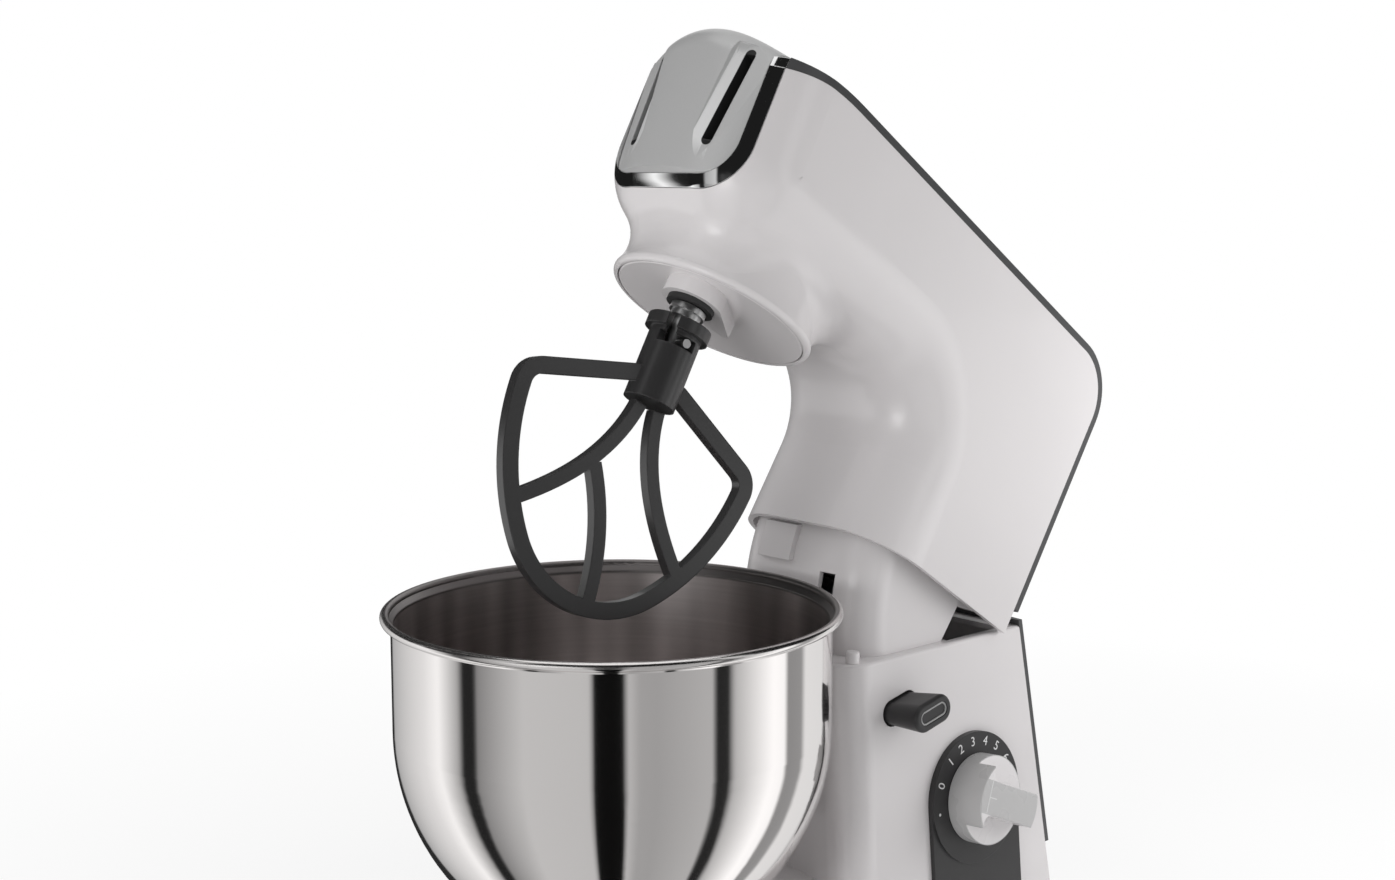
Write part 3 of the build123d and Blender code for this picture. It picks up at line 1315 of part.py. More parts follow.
with BuildPart() as motor_pulley:
    with BuildSketch(head_level(PULLEY_BOTTOM_Z, MOTOR_X)):
        Circle(MOTOR_PULLEY_R)
    extrude(amount=PULLEY_H)
    for z in (PULLEY_BOTTOM_Z, PULLEY_BOTTOM_Z + PULLEY_H - PULLEY_FLANGE):
        with BuildSketch(head_level(z, MOTOR_X)):
            Circle(MOTOR_PULLEY_R + PULLEY_FLANGE)
        extrude(amount=PULLEY_FLANGE)
    with BuildSketch(head_level(PULLEY_BOTTOM_Z, MOTOR_X)):
        Circle(MOTOR_SHAFT_R + RUN_FIT)
    extrude(amount=PULLEY_H, mode=Mode.SUBTRACT)

with BuildPart() as motor_bracket:
    with BuildSketch(head_level(BRACKET_Z)):
        with Locations(((BRACKET_FRONT + BRACKET_BACK) / 2, 0)):
            RectangleRounded(BRACKET_BACK - BRACKET_FRONT, 2 * (HEAD_HALF - HEAD_WALL - SEAT_GAP), BUSH_WALL)
    extrude(amount=BRACKET_T)
    with BuildSketch(head_level(BRACKET_Z + BRACKET_T, MOTOR_X)):
        Circle(STATOR_R)
        Circle(STATOR_R - BOSS_WALL, mode=Mode.SUBTRACT)
    extrude(amount=STATOR_Z - BRACKET_Z - BRACKET_T)
    with BuildSketch(head_level(BRACKET_Z, MOTOR_X)):
        Circle(MOTOR_SHAFT_R + RUN_FIT)
    extrude(amount=BRACKET_T, mode=Mode.SUBTRACT)

with BuildPart() as motor_stator:
    with BuildSketch(head_level(STATOR_Z, MOTOR_X)):
        Circle(STATOR_R)
        Circle(STATOR_R - STATOR_YOKE, mode=Mode.SUBTRACT)
        for start in (0, HALF_TURN):
            add(sector(STATOR_BORE_R, STATOR_R - STATOR_YOKE / 2, start, POLE_SPAN))
    extrude(amount=STATOR_H)

with BuildPart() as motor_windings:
    with BuildSketch(head_level(STATOR_Z, MOTOR_X)):
        for start in (90, -90):
            add(sector(STATOR_BORE_R, STATOR_R - STATOR_YOKE - SEAT_GAP, start, winding_span))
    extrude(amount=STATOR_H)

with BuildPart() as motor_end_bell:
    with BuildSketch(head_level(bell_z, MOTOR_X)):
        Circle(STATOR_R)
        Circle(STATOR_R - BOSS_WALL, mode=Mode.SUBTRACT)
    extrude(amount=BELL_H)
    with BuildSketch(head_level(bell_z + BELL_H, MOTOR_X)):
        Circle(STATOR_R)
        Circle(MOTOR_SHAFT_R + RUN_FIT, mode=Mode.SUBTRACT)
        with PolarLocations((STATOR_R + COMMUTATOR_R) / 2, 6, start_angle=QUARTER_TURN / 3):
            Circle(COMMUTATOR_R / 2, mode=Mode.SUBTRACT)
    extrude(amount=BELL_T)

with BuildPart() as carbon_brushes:
    with BuildSketch(head_level(bell_z + BODY_GAP, MOTOR_X)):
        with GridLocations(0, STATOR_R - BOSS_WALL + COMMUTATOR_R, 1, 2):
            Rectangle(BRUSH_W, STATOR_R - BOSS_WALL - COMMUTATOR_R - 4 * SEAT_GAP)
    extrude(amount=BRUSH_W)

with BuildPart() as rotor_core:
    with BuildSketch(head_level(STATOR_Z, MOTOR_X)):
        Circle(ROTOR_R)
        Circle(MOTOR_SHAFT_R + RUN_FIT, mode=Mode.SUBTRACT)
    extrude(amount=STATOR_H)

with BuildPart() as commutator:
    with BuildSketch(head_level(bell_z, MOTOR_X)):
        Circle(COMMUTATOR_R)
        Circle(MOTOR_SHAFT_R + RUN_FIT, mode=Mode.SUBTRACT)
    extrude(amount=BELL_H - BODY_GAP)

with BuildPart() as motor_shaft:
    with BuildSketch(head_level(PULLEY_BOTTOM_Z - BODY_GAP, MOTOR_X)):
        Circle(MOTOR_SHAFT_R)
    extrude(amount=fan_z + FAN_H + 2 * BODY_GAP - PULLEY_BOTTOM_Z)

with BuildPart() as cooling_fan:
    with BuildSketch(head_level(fan_z, MOTOR_X)):
        Circle(FAN_R)
    extrude(amount=FAN_DISC_T)
    with BuildSketch(head_level(fan_z, MOTOR_X)):
        Circle(FAN_HUB_R)
        with PolarLocations((blade_inner + blade_outer) / 2, FAN_BLADES):
            Rectangle(blade_outer - blade_inner, FAN_DISC_T)
    extrude(amount=FAN_H)
    with BuildSketch(head_level(fan_z, MOTOR_X)):
        Circle(MOTOR_SHAFT_R + RUN_FIT)
    extrude(amount=FAN_H, mode=Mode.SUBTRACT)

NODES = {
    "base_housing": base_housing,
    "base_bottom_plate": base_bottom_plate,
    "rubber_feet": rubber_feet,
    "base_screws": base_screws,
    "base_back_band": base_back_band,
    "bowl_clamp_plate": bowl_clamp_plate,
    "control_board": control_board,
    "cord_gland": cord_gland,
    "tilt_neck": tilt_neck,
    "hinge_pin": hinge_pin,
    "stop_pegs": stop_pegs,
    "dial_bezel": dial_bezel,
    "speed_switch": speed_switch,
    "speed_knob": speed_knob,
    "release_button": release_button,
    "latch_slider": latch_slider,
    "bowl": bowl,
    "bowl_foot": bowl_foot,
    "head_housing": head_housing,
    "head_cover_band": head_cover_band,
    "nose_cap": nose_cap,
    "nose_trim": nose_trim,
    "ring_gear": ring_gear,
    "gear_plate": gear_plate,
    "carrier_bush": carrier_bush,
    "gearbox_screws": gearbox_screws,
    "pulley_axle": pulley_axle,
    "drive_belt": drive_belt,
    "motor_bracket": motor_bracket,
    "motor_stator": motor_stator,
    "motor_windings": motor_windings,
    "motor_end_bell": motor_end_bell,
    "carbon_brushes": carbon_brushes,
    "planet_carrier": planet_carrier,
    "carrier_gear": carrier_gear,
    "tool_bush": tool_bush,
    "shaft_seal": shaft_seal,
    "planet_pinion": planet_pinion,
    "tool_shaft": tool_shaft,
    "shaft_collar": shaft_collar,
    "cross_pin": cross_pin,
    "flat_beater": flat_beater,
    "pulley_gear": pulley_gear,
    "rotor_core": rotor_core,
    "commutator": commutator,
    "motor_shaft": motor_shaft,
    "motor_pulley": motor_pulley,
    "cooling_fan": cooling_fan,
}
for name, node in NODES.items():
    node.part.label = name
    export_step(node.part, f"parts/{name}.step")
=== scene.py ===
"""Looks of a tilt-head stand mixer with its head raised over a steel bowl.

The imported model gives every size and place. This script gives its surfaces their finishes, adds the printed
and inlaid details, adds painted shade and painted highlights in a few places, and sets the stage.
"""

import json
from math import cos, radians, sin, tau

import bmesh
import bpy
from bpy.props import FloatProperty, FloatVectorProperty, PointerProperty
from mathutils import Matrix, Vector


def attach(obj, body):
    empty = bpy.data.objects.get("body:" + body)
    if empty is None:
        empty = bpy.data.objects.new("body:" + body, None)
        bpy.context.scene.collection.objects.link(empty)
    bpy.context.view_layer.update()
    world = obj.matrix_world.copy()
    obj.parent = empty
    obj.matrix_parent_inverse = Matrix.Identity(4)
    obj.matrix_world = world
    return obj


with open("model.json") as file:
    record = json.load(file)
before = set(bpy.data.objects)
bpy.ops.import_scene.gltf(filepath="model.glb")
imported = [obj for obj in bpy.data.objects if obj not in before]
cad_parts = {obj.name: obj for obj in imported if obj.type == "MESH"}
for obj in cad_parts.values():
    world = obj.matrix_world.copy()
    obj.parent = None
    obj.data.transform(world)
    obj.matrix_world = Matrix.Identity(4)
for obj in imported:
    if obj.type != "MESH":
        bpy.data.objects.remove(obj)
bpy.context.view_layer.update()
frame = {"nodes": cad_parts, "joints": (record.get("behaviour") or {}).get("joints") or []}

bl_info = {
    "name": "Stand Mixer Looks",
    "version": (1, 0, 0),
    "blender": (4, 5, 0),
    "location": "View3D > Sidebar > Mixer",
    "description": "Finishes, printed details and stage for a tilt-head stand mixer",
    "category": "Object",
}

NODES = frame["nodes"]
JOINTS = {joint["name"]: joint for joint in frame["joints"]}
MM = 0.001

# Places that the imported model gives
HINGE = Vector(JOINTS["head_tilt"]["pos_m"])
BOWL_AXIS = Vector(JOINTS["bowl_twist"]["pos_m"]) * Vector((1, 1, 0))
DIAL_CENTRE = Vector(JOINTS["speed_knob"]["pos_m"])
DIAL_OUT = Vector(JOINTS["speed_knob"]["axis"])
BUTTON_OUT = -Vector(JOINTS["release_button"]["axis"])
HEAD_UP = Vector(JOINTS["planetary_spin"]["axis"])
RIGHT = Vector((1, 0, 0))
SIDEWAYS = Vector((0, 1, 0))
UP = Vector((0, 0, 1))

# Camera at the photograph's viewing angle
CAMERA_PLACE = Vector((-0.59507, -0.70918, 0.41322)) + BOWL_AXIS
CAMERA_TURN = radians(-42.53)
CAMERA_FALL = radians(8.18)
CAMERA_LENS = 50.7
CAMERA_SIDE = ((CAMERA_PLACE - BOWL_AXIS) * Vector((1, 1, 0))).normalized()
CAMERA_RIGHT = UP.cross(CAMERA_SIDE)

FACE_TOLERANCE = 0.02 * MM
MASK_EDGE = 0.1 * MM
# Near-black colour of the painted shade in recesses
RECESS_SHADE_COLOUR = (0.012, 0.012, 0.012)


def facing_turn(right, out):
    """Turn whose local x is this direction and whose local z points out of a face."""
    return Matrix((right, out.cross(right), out)).transposed().to_4x4()


def outer_face(node, out):
    """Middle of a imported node's outermost flat face in a direction."""
    places = [vertex.co for vertex in NODES[node].data.vertices]
    level = max(out.dot(place) for place in places)
    rim = [place for place in places if level - out.dot(place) < FACE_TOLERANCE]
    low = Vector(map(min, zip(*rim)))
    high = Vector(map(max, zip(*rim)))
    middle = (low + high) / 2
    return middle + out * (level - out.dot(middle))


DIAL_TURN = facing_turn(RIGHT, DIAL_OUT)


class Wire:
    """A shader socket on which arithmetic adds Math nodes, and node() adds any other node."""

    def __init__(self, tree, socket=None):
        self.tree = tree
        self.socket = socket

    def node(self, kind, settings=None, inputs=None, output=0):
        """Adds a node, sets its settings, then its input values or links, and wraps one output."""
        made = self.tree.nodes.new(kind)
        for name, value in (settings or {}).items():
            if name == "stops":
                self.set_stops(made.color_ramp.elements, value)
            else:
                setattr(made, name, value)
        for name, value in (inputs or {}).items():
            socket = made.inputs[name]
            if isinstance(value, Wire):
                self.tree.links.new(value.socket, socket)
            else:
                socket.default_value = value
        return Wire(self.tree, made.outputs[output])

    @staticmethod
    def set_stops(elements, stops):
        """Gives a ramp its grey stops, in rising order."""
        elements.remove(elements[1])
        for count, (place, grey) in enumerate(stops):
            stop = elements.new(place) if count else elements[0]
            stop.position = place
            stop.color = (grey, grey, grey, 1)

    def math(self, operation, first, second=0.0):
        return self.node("ShaderNodeMath", {"operation": operation}, {0: first, 1: second})

    def vector(self, operation, first, second, output="Vector"):
        return self.node("ShaderNodeVectorMath", {"operation": operation}, {0: first, 1: second}, output)

    def along(self, origin, direction):
        """How far a point lies from an origin along a direction."""
        return self.vector("DOT_PRODUCT", self.vector("SUBTRACT", self, origin), direction, "Value")

    def least(self, other):
        return self.math("MINIMUM", self, other)

    def most(self, other):
        return self.math("MAXIMUM", self, other)

    def size(self):
        return self.math("ABSOLUTE", self)

    def root(self):
        return self.math("SQRT", self)

    def fade(self, start, end):
        """0 up to the start, 1 from the end on, even between."""
        return self.node("ShaderNodeMapRange", {}, {"Value": self, "From Min": start, "From Max": end})

    def __add__(self, other):
        return self.math("ADD", self, other)

    def __radd__(self, other):
        return self.math("ADD", other, self)

    def __sub__(self, other):
        return self.math("SUBTRACT", self, other)

    def __rsub__(self, other):
        return self.math("SUBTRACT", other, self)

    def __mul__(self, other):
        return self.math("MULTIPLY", self, other)

    def __rmul__(self, other):
        return self.math("MULTIPLY", other, self)

    def __truediv__(self, other):
        return self.math("DIVIDE", self, other)

    def __rtruediv__(self, other):
        return self.math("DIVIDE", other, self)


def noise(wire, coords, scale, detail=2.0):
    """Noise from 0 to 1 in object space."""
    return wire.node("ShaderNodeTexNoise", {}, {"Vector": coords, "Scale": scale, "Detail": detail})


def start_material(name):
    """A new material, its Principled shader and a wire on its object coordinates."""
    material = bpy.data.materials.new(name)
    material.use_nodes = True
    tree = material.node_tree
    shader = tree.nodes["Principled BSDF"]
    wire = Wire(tree)
    coords = wire.node("ShaderNodeTexCoord", output="Object")
    return material, shader, wire, coords


def blend_colours(wire, share, first, second):
    """A colour between two, each a colour or a wire."""
    ends = [end if isinstance(end, Wire) else (*end, 1) for end in (first, second)]
    mix = {"Factor": share, "A": ends[0], "B": ends[1]}
    return wire.node("ShaderNodeMix", {"data_type": "RGBA"}, mix, "Result")


def shaded(colour, share):
    """A colour darkened or lightened by a share."""
    return tuple(min(1.0, part * share) for part in colour)


def plug(shader, wire, socket):
    """Links a wire to one of the Principled shader's sockets."""
    wire.tree.links.new(wire.socket, shader.inputs[socket])


# Cosines between which a smooth normal gives way to its face's own, and a face counts as flat
STRAY_FROM = cos(radians(6.0))
STRAY_TO = cos(radians(9.0))
FLAT_FROM = cos(radians(0.8))
FLAT_TO = cos(radians(0.4))

# How finely edges are softened, and how deep the grain of a surface goes
EDGE_SAMPLES = 6
GRAIN_DEPTH = 0.3 * MM


def face_normal(wire):
    """The normal of the flat face that a point lies on."""
    return wire.node("ShaderNodeNewGeometry", output="True Normal")


def sound_normal(wire, flat=None):
    """The smooth normal, or the face's own where the two stray apart or the face faces the flat way."""
    smooth = wire.node("ShaderNodeNewGeometry", output="Normal")
    own = face_normal(wire)
    share = wire.vector("DOT_PRODUCT", smooth, own, "Value").fade(STRAY_FROM, STRAY_TO)
    if flat:
        share = share.most(wire.vector("DOT_PRODUCT", own, flat, "Value").fade(FLAT_FROM, FLAT_TO))
    mix = {"Factor": share, "A": smooth, "B": own}
    return wire.node("ShaderNodeMix", {"data_type": "VECTOR"}, mix, "Result")


def relief(wire, height, strength, edge, flat=None):
    """A bumped normal over softened edges."""
    soft = {"Radius": edge, "Normal": sound_normal(wire, flat)}
    rounded = wire.node("ShaderNodeBevel", {"samples": EDGE_SAMPLES}, soft)
    bump = {"Height": height, "Strength": strength, "Distance": GRAIN_DEPTH, "Normal": rounded}
    return wire.node("ShaderNodeBump", {}, bump)


# Sizes of the cloudy colour and uneven gloss of moulded plastic, in waves to the metre
CLOUD_SCALE = 9.0
GLOSS_SCALE = 60.0


def moulded(
    name, colour, roughness, grain=900.0, depth=0.02, mottle=0.03, edge=0.4 * MM, flat=None,
    dark=None, painted_shade_colour=RECESS_SHADE_COLOUR, **constants,
):
    """Moulded plastic: faint cloudy colour, uneven gloss, a fine grain, softened edges and a part darkened as
    painted shade.
    """
    material, shader, wire, coords = start_material(name)
    cloud = noise(wire, coords, CLOUD_SCALE)
    tint = blend_colours(wire, cloud, shaded(colour, 1 - mottle), shaded(colour, 1 + mottle))
    # The darker part is painted shade laid over the cloudy colour
    if dark:
        tint = blend_colours(wire, dark(wire, coords), tint, painted_shade_colour)
    plug(shader, tint, "Base Color")
    plug(shader, noise(wire, coords, GLOSS_SCALE) * (roughness * 0.3) + roughness * 0.85, "Roughness")
    plug(shader, relief(wire, noise(wire, coords, grain), depth, edge, flat), "Normal")
    for socket, value in constants.items():
        shader.inputs[socket.replace("_", " ")].default_value = value
    return material


def metal(name, colour, roughness, stretch=(1.0, 1.0, 1.0), scale=300.0, depth=0.03, streak=0.1):
    """Bare metal with machining marks that the stretch draws out along an axis."""
    material, shader, wire, coords = start_material(name)
    lay = wire.node("ShaderNodeMapping", {}, {"Vector": coords, "Scale": stretch})
    marks = noise(wire, lay, scale, 3.0)
    tint = blend_colours(wire, marks, shaded(colour, 1 - streak), shaded(colour, 1 + streak))
    plug(shader, tint, "Base Color")
    plug(shader, marks * (roughness * 0.5) + roughness * 0.75, "Roughness")
    plug(shader, relief(wire, marks, depth, 0.3 * MM), "Normal")
    shader.inputs["Metallic"].default_value = 1.0
    return material


def new_piece(name, mesh_maker, material, body):
    """A piece made in a bmesh, with its finish, riding on a body."""
    mesh = bpy.data.meshes.new(name)
    shape = bmesh.new()
    mesh_maker(shape)
    shape.to_mesh(mesh)
    shape.free()
    mesh.materials.append(material)
    piece = bpy.data.objects.new(name, mesh)
    bpy.context.scene.collection.objects.link(piece)
    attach(piece, body)
    return piece


def paint(material, *nodes):
    """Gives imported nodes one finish."""
    for node in nodes:
        for slot in NODES[node].material_slots:
            slot.link = "OBJECT"
            slot.material = material


def finishes():
    """The add-on's colours."""
    return bpy.context.scene.mixer_finishes


def details():
    """The add-on's sizes."""
    return bpy.context.scene.mixer_details


def colour_setting(name, description, default):
    """A colour that the sidebar shows."""
    return FloatVectorProperty(
        name=name, description=description, subtype="COLOR", default=default, min=0, max=1
    )


def length_setting(name, description, default):
    """A length that the sidebar shows."""
    return FloatProperty(name=name, description=description, subtype="DISTANCE", default=default)


class MixerFinishes(bpy.types.PropertyGroup):
    """Colours of the mixer's main finishes."""

    body: colour_setting("Body", "Glossy moulded body", (0.735, 0.71, 0.715))
    band: colour_setting("Bands", "Dark cover bands", (0.07, 0.07, 0.072))
    control: colour_setting("Controls", "Bezel and button", (0.028, 0.027, 0.028))
    marks: colour_setting("Print", "Marks on the dial", (0.72, 0.72, 0.72))
    tool: colour_setting("Beater", "Coated beater", (0.028, 0.0275, 0.028))
    knob: colour_setting("Knob", "Speed knob", (0.78, 0.76, 0.765))
    # The bar's grey is a painted shade on the knob's bar and round wall
    bar: colour_setting("Bar", "Satin face of the knob's bar", (0.53, 0.525, 0.525))
    nose: colour_setting("Nose", "Satin nose cap", (0.56, 0.56, 0.56))
    bowl_outside: colour_setting("Bowl outside", "Polished steel", (0.8, 0.775, 0.765))
    bowl_inside: colour_setting("Bowl inside", "Brushed steel", (0.45, 0.42, 0.415))


class MixerDetails(bpy.types.PropertyGroup):
    """Sizes of the details that this script adds."""

    mark_height: length_setting("Mark height", "Height of the dial's printed marks", 5.0 * MM)
    mark_radius: length_setting("Mark circle", "Radius of the circle of marks", 30.4 * MM)
    line_width: length_setting("Line width", "Width of the lines on the knob", 0.5 * MM)
    # The button's light ring is a painted highlight
    ring_width: length_setting("Ring width", "Width of the button's light ring", 0.8 * MM)


# Parts with painted light or shade: painted shade in the nose's finger slots, on the knob's bar and in the
# well behind the hinge, and a painted highlight on the nose's bevels
SLOT_LOW = Vector((26.0, 275.0)) * MM
SLOT_TOP = Vector((30.8, 321.0)) * MM
SLOT_HALF = 2.85 * MM
SLOT_WALL = 2.6 * MM
BEVEL_END = 28.0 * MM
BEVEL_LOW = 264.0 * MM
BEVEL_TOP = 324.0 * MM
BEVEL_HIGHLIGHT_SHARE = 1.45
BEVEL_FROM = (0.34, 0.38)
BEVEL_TO = (0.64, 0.6)
BAR_HALF = 8.95 * MM
KNOB_WALL = 23.4 * MM
WELL_MIDDLE = BOWL_AXIS + Vector((212.5, 0.0, 120.0)) * MM
WELL_HALF = Vector((22.4, 48.9, 38.9)) * MM
WELL_EDGE = 0.5 * MM


def slot_dark(wire, coords):
    """1 inside the nose's two finger slots, which get painted shade, apart from their outer walls, which stay
    silver.
    """
    height = coords.along(HINGE, HEAD_UP) + HINGE.z
    level = height.most(SLOT_LOW.y).least(SLOT_TOP.y)
    lean = (SLOT_TOP.x - SLOT_LOW.x) / (SLOT_TOP.y - SLOT_LOW.y)
    across = coords.along(HINGE, SIDEWAYS).size() - ((level - SLOT_LOW.y) * lean + SLOT_LOW.x)
    over = height - level
    inside = (across * across + over * over).root().fade(SLOT_HALF, SLOT_HALF - MASK_EDGE)
    return inside * across.fade(SLOT_WALL, SLOT_WALL - MASK_EDGE)


def bevel_light(wire, coords):
    """1 on the two bevels between the nose's middle and its finger slots, which get a painted highlight."""
    tilt = wire.vector("DOT_PRODUCT", face_normal(wire), SIDEWAYS, "Value").size()
    across = coords.along(HINGE, SIDEWAYS).size().fade(BEVEL_END, BEVEL_END - MASK_EDGE)
    height = coords.along(HINGE, HEAD_UP) + HINGE.z
    beside = height.fade(BEVEL_LOW, SLOT_LOW.y) * height.fade(BEVEL_TOP, SLOT_TOP.y)
    return tilt.fade(*BEVEL_FROM) * tilt.fade(*BEVEL_TO) * across * beside


def well_dark(wire, coords):
    """1 inside the well that the head's back end turns in, which gets painted shade."""
    sides = []
    for axis, half in zip((RIGHT, SIDEWAYS, UP), WELL_HALF):
        sides.append(coords.along(WELL_MIDDLE, axis).size().fade(half, half - WELL_EDGE))
    return sides[0] * sides[1] * sides[2]


def bar_grey(wire, coords):
    """1 on the knob's bar and round wall, which get a grey painted shade, 0 in the white scoops beside the
    bar.
    """
    bar = Matrix.Rotation(radians(KNOB_ANGLE), 4, "Z")
    along_bar = coords.along(DIAL_CENTRE, DIAL_TURN @ bar @ RIGHT)
    across = coords.along(DIAL_CENTRE, DIAL_TURN @ bar @ SIDEWAYS).size()
    reach = (along_bar * along_bar + across * across).root()
    return across.fade(BAR_HALF, BAR_HALF - MASK_EDGE).most(reach.fade(KNOB_WALL - MASK_EDGE, KNOB_WALL))


class MIXER_OT_body(bpy.types.Operator):
    """Finishes of the moulded housings, bands and nose"""

    bl_idname = "mixer.body"
    bl_label = "Body"

    def execute(self, context):
        colours = finishes()
        gloss = {"Coat_Weight": 0.3, "Coat_Roughness": 0.06}
        paint(
            moulded("body_gloss_white", colours.body, 0.25, **gloss),
            "tilt_neck", "head_housing", "planet_carrier", "stop_pegs",
        )
        # The well behind the hinge gets a near-black painted shade
        paint(moulded("base_gloss_white", colours.body, 0.25, dark=well_dark, **gloss), "base_housing")
        paint(moulded("band_satin_grey", colours.band, 0.35), "head_cover_band", "base_back_band")
        paint(satin_silver("nose_satin_silver", colours.nose), "nose_cap")
        chrome = metal("trim_chrome", (0.85, 0.85, 0.85), 0.04, scale=40.0, depth=0.004, streak=0.02)
        paint(chrome, "nose_trim")
        return {"FINISHED"}


# The nose's silver paint: waves of its grain to the metre, and how much of it is metal
FLAKE_SCALE = 2600.0
SILVER_METAL = 0.2


def satin_silver(name, colour):
    """Silver paint with a fine metallic grain, a painted highlight on the bevels and painted shade in the
    finger slots.
    """
    material, shader, wire, coords = start_material(name)
    flake = noise(wire, coords, FLAKE_SCALE)
    tint = blend_colours(wire, flake, shaded(colour, 0.94), shaded(colour, 1.06))
    # The bevels get a painted highlight
    tint = blend_colours(wire, bevel_light(wire, coords), tint, shaded(colour, BEVEL_HIGHLIGHT_SHARE))
    # The finger slots get a near-black painted shade
    dark = slot_dark(wire, coords)
    plug(shader, blend_colours(wire, dark, tint, RECESS_SHADE_COLOUR), "Base Color")
    plug(shader, flake * 0.08 + 0.3, "Roughness")
    plug(shader, (1 - dark) * SILVER_METAL, "Metallic")
    plug(shader, relief(wire, flake, 0.03, 0.8 * MM), "Normal")
    return material


class MIXER_OT_controls(bpy.types.Operator):
    """Finishes of the dial, knob and button, with their printed and inlaid marks, painted shade on the knob's
    bar and a ring of painted highlight on the button
    """

    bl_idname = "mixer.controls"
    bl_label = "Controls"

    def execute(self, context):
        colours = finishes()
        paint(
            moulded("control_anthracite", colours.control, 0.4, grain=1400.0, depth=0.05),
            "dial_bezel", "release_button",
        )
        # The knob's bar and round wall get a grey painted shade
        paint(
            moulded("knob_white", colours.knob, 0.28, flat=DIAL_OUT, dark=bar_grey, painted_shade_colour=colours.bar),
            "speed_knob",
        )
        printed = moulded("dial_print", colours.marks, 0.5, edge=0.02 * MM)
        new_piece("dial_marks", make_dial_marks, printed, "base")
        new_piece("knob_lines", make_knob_lines, printed, "knob")
        # A lighter ring in the button's recess is a painted highlight
        ring = moulded("button_ring_painted_highlight", (0.35, 0.35, 0.35), 0.35, edge=0.05 * MM)
        new_piece("button_ring", make_button_ring, ring, "button")
        return {"FINISHED"}


# Marks on the dial, in degrees from the right, and the knob's resting direction
NUMBER_ANGLES = (156.6, 130.0, 111.0, 92.0, 72.5, 53.5, 33.0, 14.5)
DOT_ANGLE = 185.4
DOT_SHARE = 0.16
KNOB_ANGLE = 156.5
SEAM_REACH = 17.3 * MM
SEAM_LENGTH = 17.0 * MM
POINTER_END = 11.5 * MM
PRINT_DEPTH = 0.06 * MM
PRINT_LIFT = PRINT_DEPTH / 4
PRINT_WELD = 0.001 * MM
BUTTON_LEAN = radians(12.0)
BUTTON_RECESS = Vector((20.5, 7.5)) * MM
RECESS_DEPTH = 1.0 * MM
RING_HEIGHT = 0.6 * MM
RING_SEAT = 0.05 * MM
RING_CLEARANCE = 0.2 * MM


def number_mesh(number):
    """Mesh of one printed number."""
    curve = bpy.data.curves.new("number", "FONT")
    curve.body = str(number)
    curve.extrude = 0.01
    holder = bpy.data.objects.new("number", curve)
    bpy.context.scene.collection.objects.link(holder)
    shape = holder.evaluated_get(bpy.context.evaluated_depsgraph_get())
    mesh = bpy.data.meshes.new_from_object(shape)
    bpy.data.objects.remove(holder)
    bpy.data.curves.remove(curve)
    return mesh


def on_dial(angle, reach, lift):
    """Place on the dial's face, its top pointing outwards, at an angle and a distance from its middle."""
    face = outer_face("dial_bezel", DIAL_OUT)
    middle = DIAL_CENTRE + DIAL_OUT * DIAL_OUT.dot(face - DIAL_CENTRE)
    around = DIAL_TURN @ Vector((cos(radians(angle)), sin(radians(angle)), 0))
    turn = DIAL_TURN @ Matrix.Rotation(radians(angle - 90), 4, "Z")
    return Matrix.Translation(middle + around * reach + DIAL_OUT * lift) @ turn


def make_dial_marks(shape):
    """Numbers round the dial, and a dot for the short burst."""
    sizes = details()
    for number, angle in enumerate(NUMBER_ANGLES):
        mesh = number_mesh(number)
        places = [vertex.co for vertex in mesh.vertices]
        low = Vector(map(min, zip(*places)))
        high = Vector(map(max, zip(*places)))
        scale = sizes.mark_height / (high.y - low.y)
        squash = Matrix.Diagonal((scale, scale, PRINT_DEPTH / (high.z - low.z), 1))
        fit = squash @ Matrix.Translation(-(low + high) / 2)
        mesh.transform(on_dial(angle, sizes.mark_radius, PRINT_LIFT) @ fit)
        shape.from_mesh(mesh)
        bpy.data.meshes.remove(mesh)
    dot = sizes.mark_height * DOT_SHARE
    bmesh.ops.create_cone(
        shape, cap_ends=True, segments=24, radius1=dot, radius2=dot, depth=PRINT_DEPTH,
        matrix=on_dial(DOT_ANGLE, sizes.mark_radius, PRINT_LIFT),
    )
    bmesh.ops.remove_doubles(shape, verts=shape.verts, dist=PRINT_WELD)
    bmesh.ops.recalc_face_normals(shape, faces=shape.faces)


def make_knob_lines(shape):
    """A seam across the knob's bar and a short pointer from it along the bar."""
    width = details().line_width
    face = outer_face("speed_knob", DIAL_OUT)
    middle = DIAL_CENTRE + DIAL_OUT * DIAL_OUT.dot(face - DIAL_CENTRE)
    turn = Matrix.Translation(middle) @ DIAL_TURN @ Matrix.Rotation(radians(KNOB_ANGLE), 4, "Z")
    reach = SEAM_REACH - POINTER_END
    for centre, size in (
        (SEAM_REACH, (width, SEAM_LENGTH, PRINT_DEPTH)),
        (SEAM_REACH - reach / 2, (reach, width, PRINT_DEPTH)),
    ):
        place = turn @ Matrix.Translation((centre, 0, 0))
        bmesh.ops.create_cube(shape, size=1.0, matrix=place @ Matrix.Diagonal((*size, 1)))
    bmesh.ops.bevel(
        shape, geom=shape.edges, offset=PRINT_DEPTH / 4, affect="EDGES", segments=2, profile=0.5, material=-1
    )


